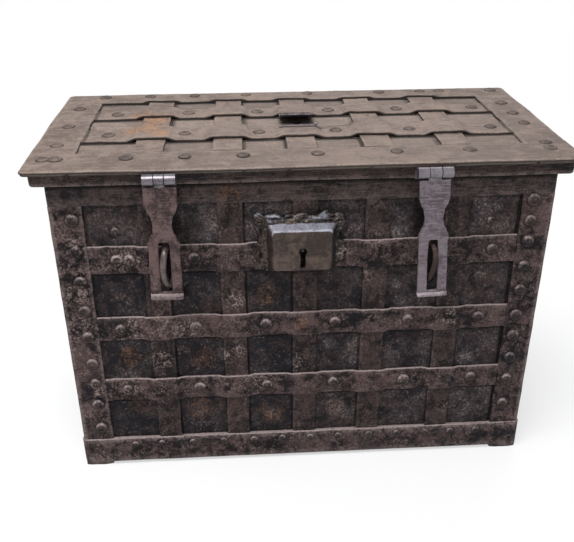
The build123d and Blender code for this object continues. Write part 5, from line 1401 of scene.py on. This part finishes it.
def crumpled(point, share):
    """Corner of the crumpled plate at a place and a share of the way to its edge."""
    upper = smooth((point.z - 408.0) / 10.0)
    level = uneven(point.x / 15, 5, point.z / 4.2)
    erect = uneven(point.x / 4.0, 5, point.z / 13)
    crumple = upper * level + (1 - upper) * erect + 0.3 * uneven(point.x / 3.4, 9, point.z / 3.4)
    lift = 3.0 + 3.2 * crumple * smooth(share * 1.6) + 1.4 * math.exp(-((share - 0.88) / 0.07) ** 2)
    lift = 0.8 if share == 1.0 else max(0.8, min(6.5, lift))
    # Upper lobes: grey edge colour as wear and painted highlight, most on raised crumples
    bright = upper * (1 - smooth((point.x - 26.0) / 10.0)) * (1 - 0.7 * torn_middle(point.x))
    bright *= smooth(((point - CURL).length - 6.0) / 8.0)
    bright = max(bright, 0.12 * smooth((point.x - 20.0) / 20.0))
    wear = smooth((share - 0.3) * 2) * (0.05 + 0.85 * bright) * (0.75 + 1.1 * crumple)
    dirt = max(0.0, -crumple * 2.5 - 0.1) * (1.0 - 0.35 * bright) + (0.8 if share == 1.0 else 0.0)
    return Vector((point.x, TORN_BACK - lift, point.z)), max(0.0, wear), min(1.0, dirt)


def escutcheon():
    """Torn and crumpled plate behind the false lock, curled up at its top left."""
    rows = []
    spokes = 330
    for part in range(spokes):
        spoke = torn_place(part / spokes)
        edge = TORN_CENTRE + spoke
        inner = TORN_CENTRE + Vector((spoke.x * 0.55, 0, spoke.z * 0.55 - 3.0))
        row = [crumpled(inner.lerp(edge, share), share)
               for share in (0.0, 0.2, 0.4, 0.52, 0.62, 0.71, 0.79, 0.86, 0.92, 0.97, 1.0)]
        row.append((Vector((edge.x, TORN_BACK, edge.z)), 0.0, 1.0))
        row.append((Vector((inner.x, TORN_BACK, inner.z)), 0.0, 0.0))
        rows.append(row)
    shell = Shell().grid(rows, around=True)
    shell.finish("escutcheon", "fret", "chest", "escutcheon_plate", angle=70, paint=torn_fields)
    coil = []
    for turn in span(-60.0, 500.0, 35.0):
        radius = 1.2 + 5.0 * (1 - (turn + 60.0) / 560.0)
        angle = math.radians(turn)
        coil.append((CURL.x + radius * math.cos(angle), TORN_BACK - 4.5 - turn / 200.0,
                     CURL.z + radius * math.sin(angle)))
    tube("escutcheon_curl", coil, 1.5, "fret", "chest")


# Handles

HANDLE_X = 364.5
HANDLE_LOW = 241.5

# Half of a handle from its outer end to its grip: distance from the middle, and height
HANDLE_BEND = ((58, 300), (52, 300), (44, 300), (37, 299), (35, 290), (35.5, 268), (33, 252), (24, 243),
               (12, HANDLE_LOW))


def handles():
    for name, x in (("left_handle", -HANDLE_X), ("right_handle", HANDLE_X)):
        front = [(x, -y, z) for y, z in HANDLE_BEND]
        back = [(x, y, z) for y, z in reversed(HANDLE_BEND)]
        points = about_middle(front + [(x, 0, HANDLE_LOW)] + back)
        tube(name + "_bar", points, 5.4, "hasp_left", name, name)


# Nodes that stay, with a bevel and their own finish

def dress():
    finishes = {
        "inside": "bottom_sheet rim_flange lock_plate",
        "steel": "hasp_leaves hasp_pins hinge_pins lock_bar right_bolts left_bolts front_bolts back_bolts "
                 "bolt_springs bolt_guides lock_bar_guides reversing_lever lever_pivot lock_cover_plate "
                 "cover_pillars key_pin",
        "cover": "keyhole_cover cover_hinge",
        "front": "body_hinge_leaves lid_hinge_leaves",
        "hasp_left": "handle_lugs",
    }
    for key, names in finishes.items():
        for name in names.split():
            piece = NODES[name]
            piece.data.materials.clear()
            piece.data.materials.append(MATERIALS[key])
            bevel = piece.modifiers.new("soft_edges", "BEVEL")
            bevel.width = 0.0006
            bevel.segments = 2
            bevel.limit_method = "ANGLE"
            bevel.angle_limit = math.radians(40)


def build():
    place_camera()
    studio()
    make_materials()
    wall_panels()
    wall_straps()
    corner_straps()
    bands()
    feet()
    rivets()
    lid_frame()
    lid_plate()
    lid_straps()
    keyhole_spring()
    hasps()
    staples()
    lock_case()
    escutcheon()
    handles()
    dress()


build()
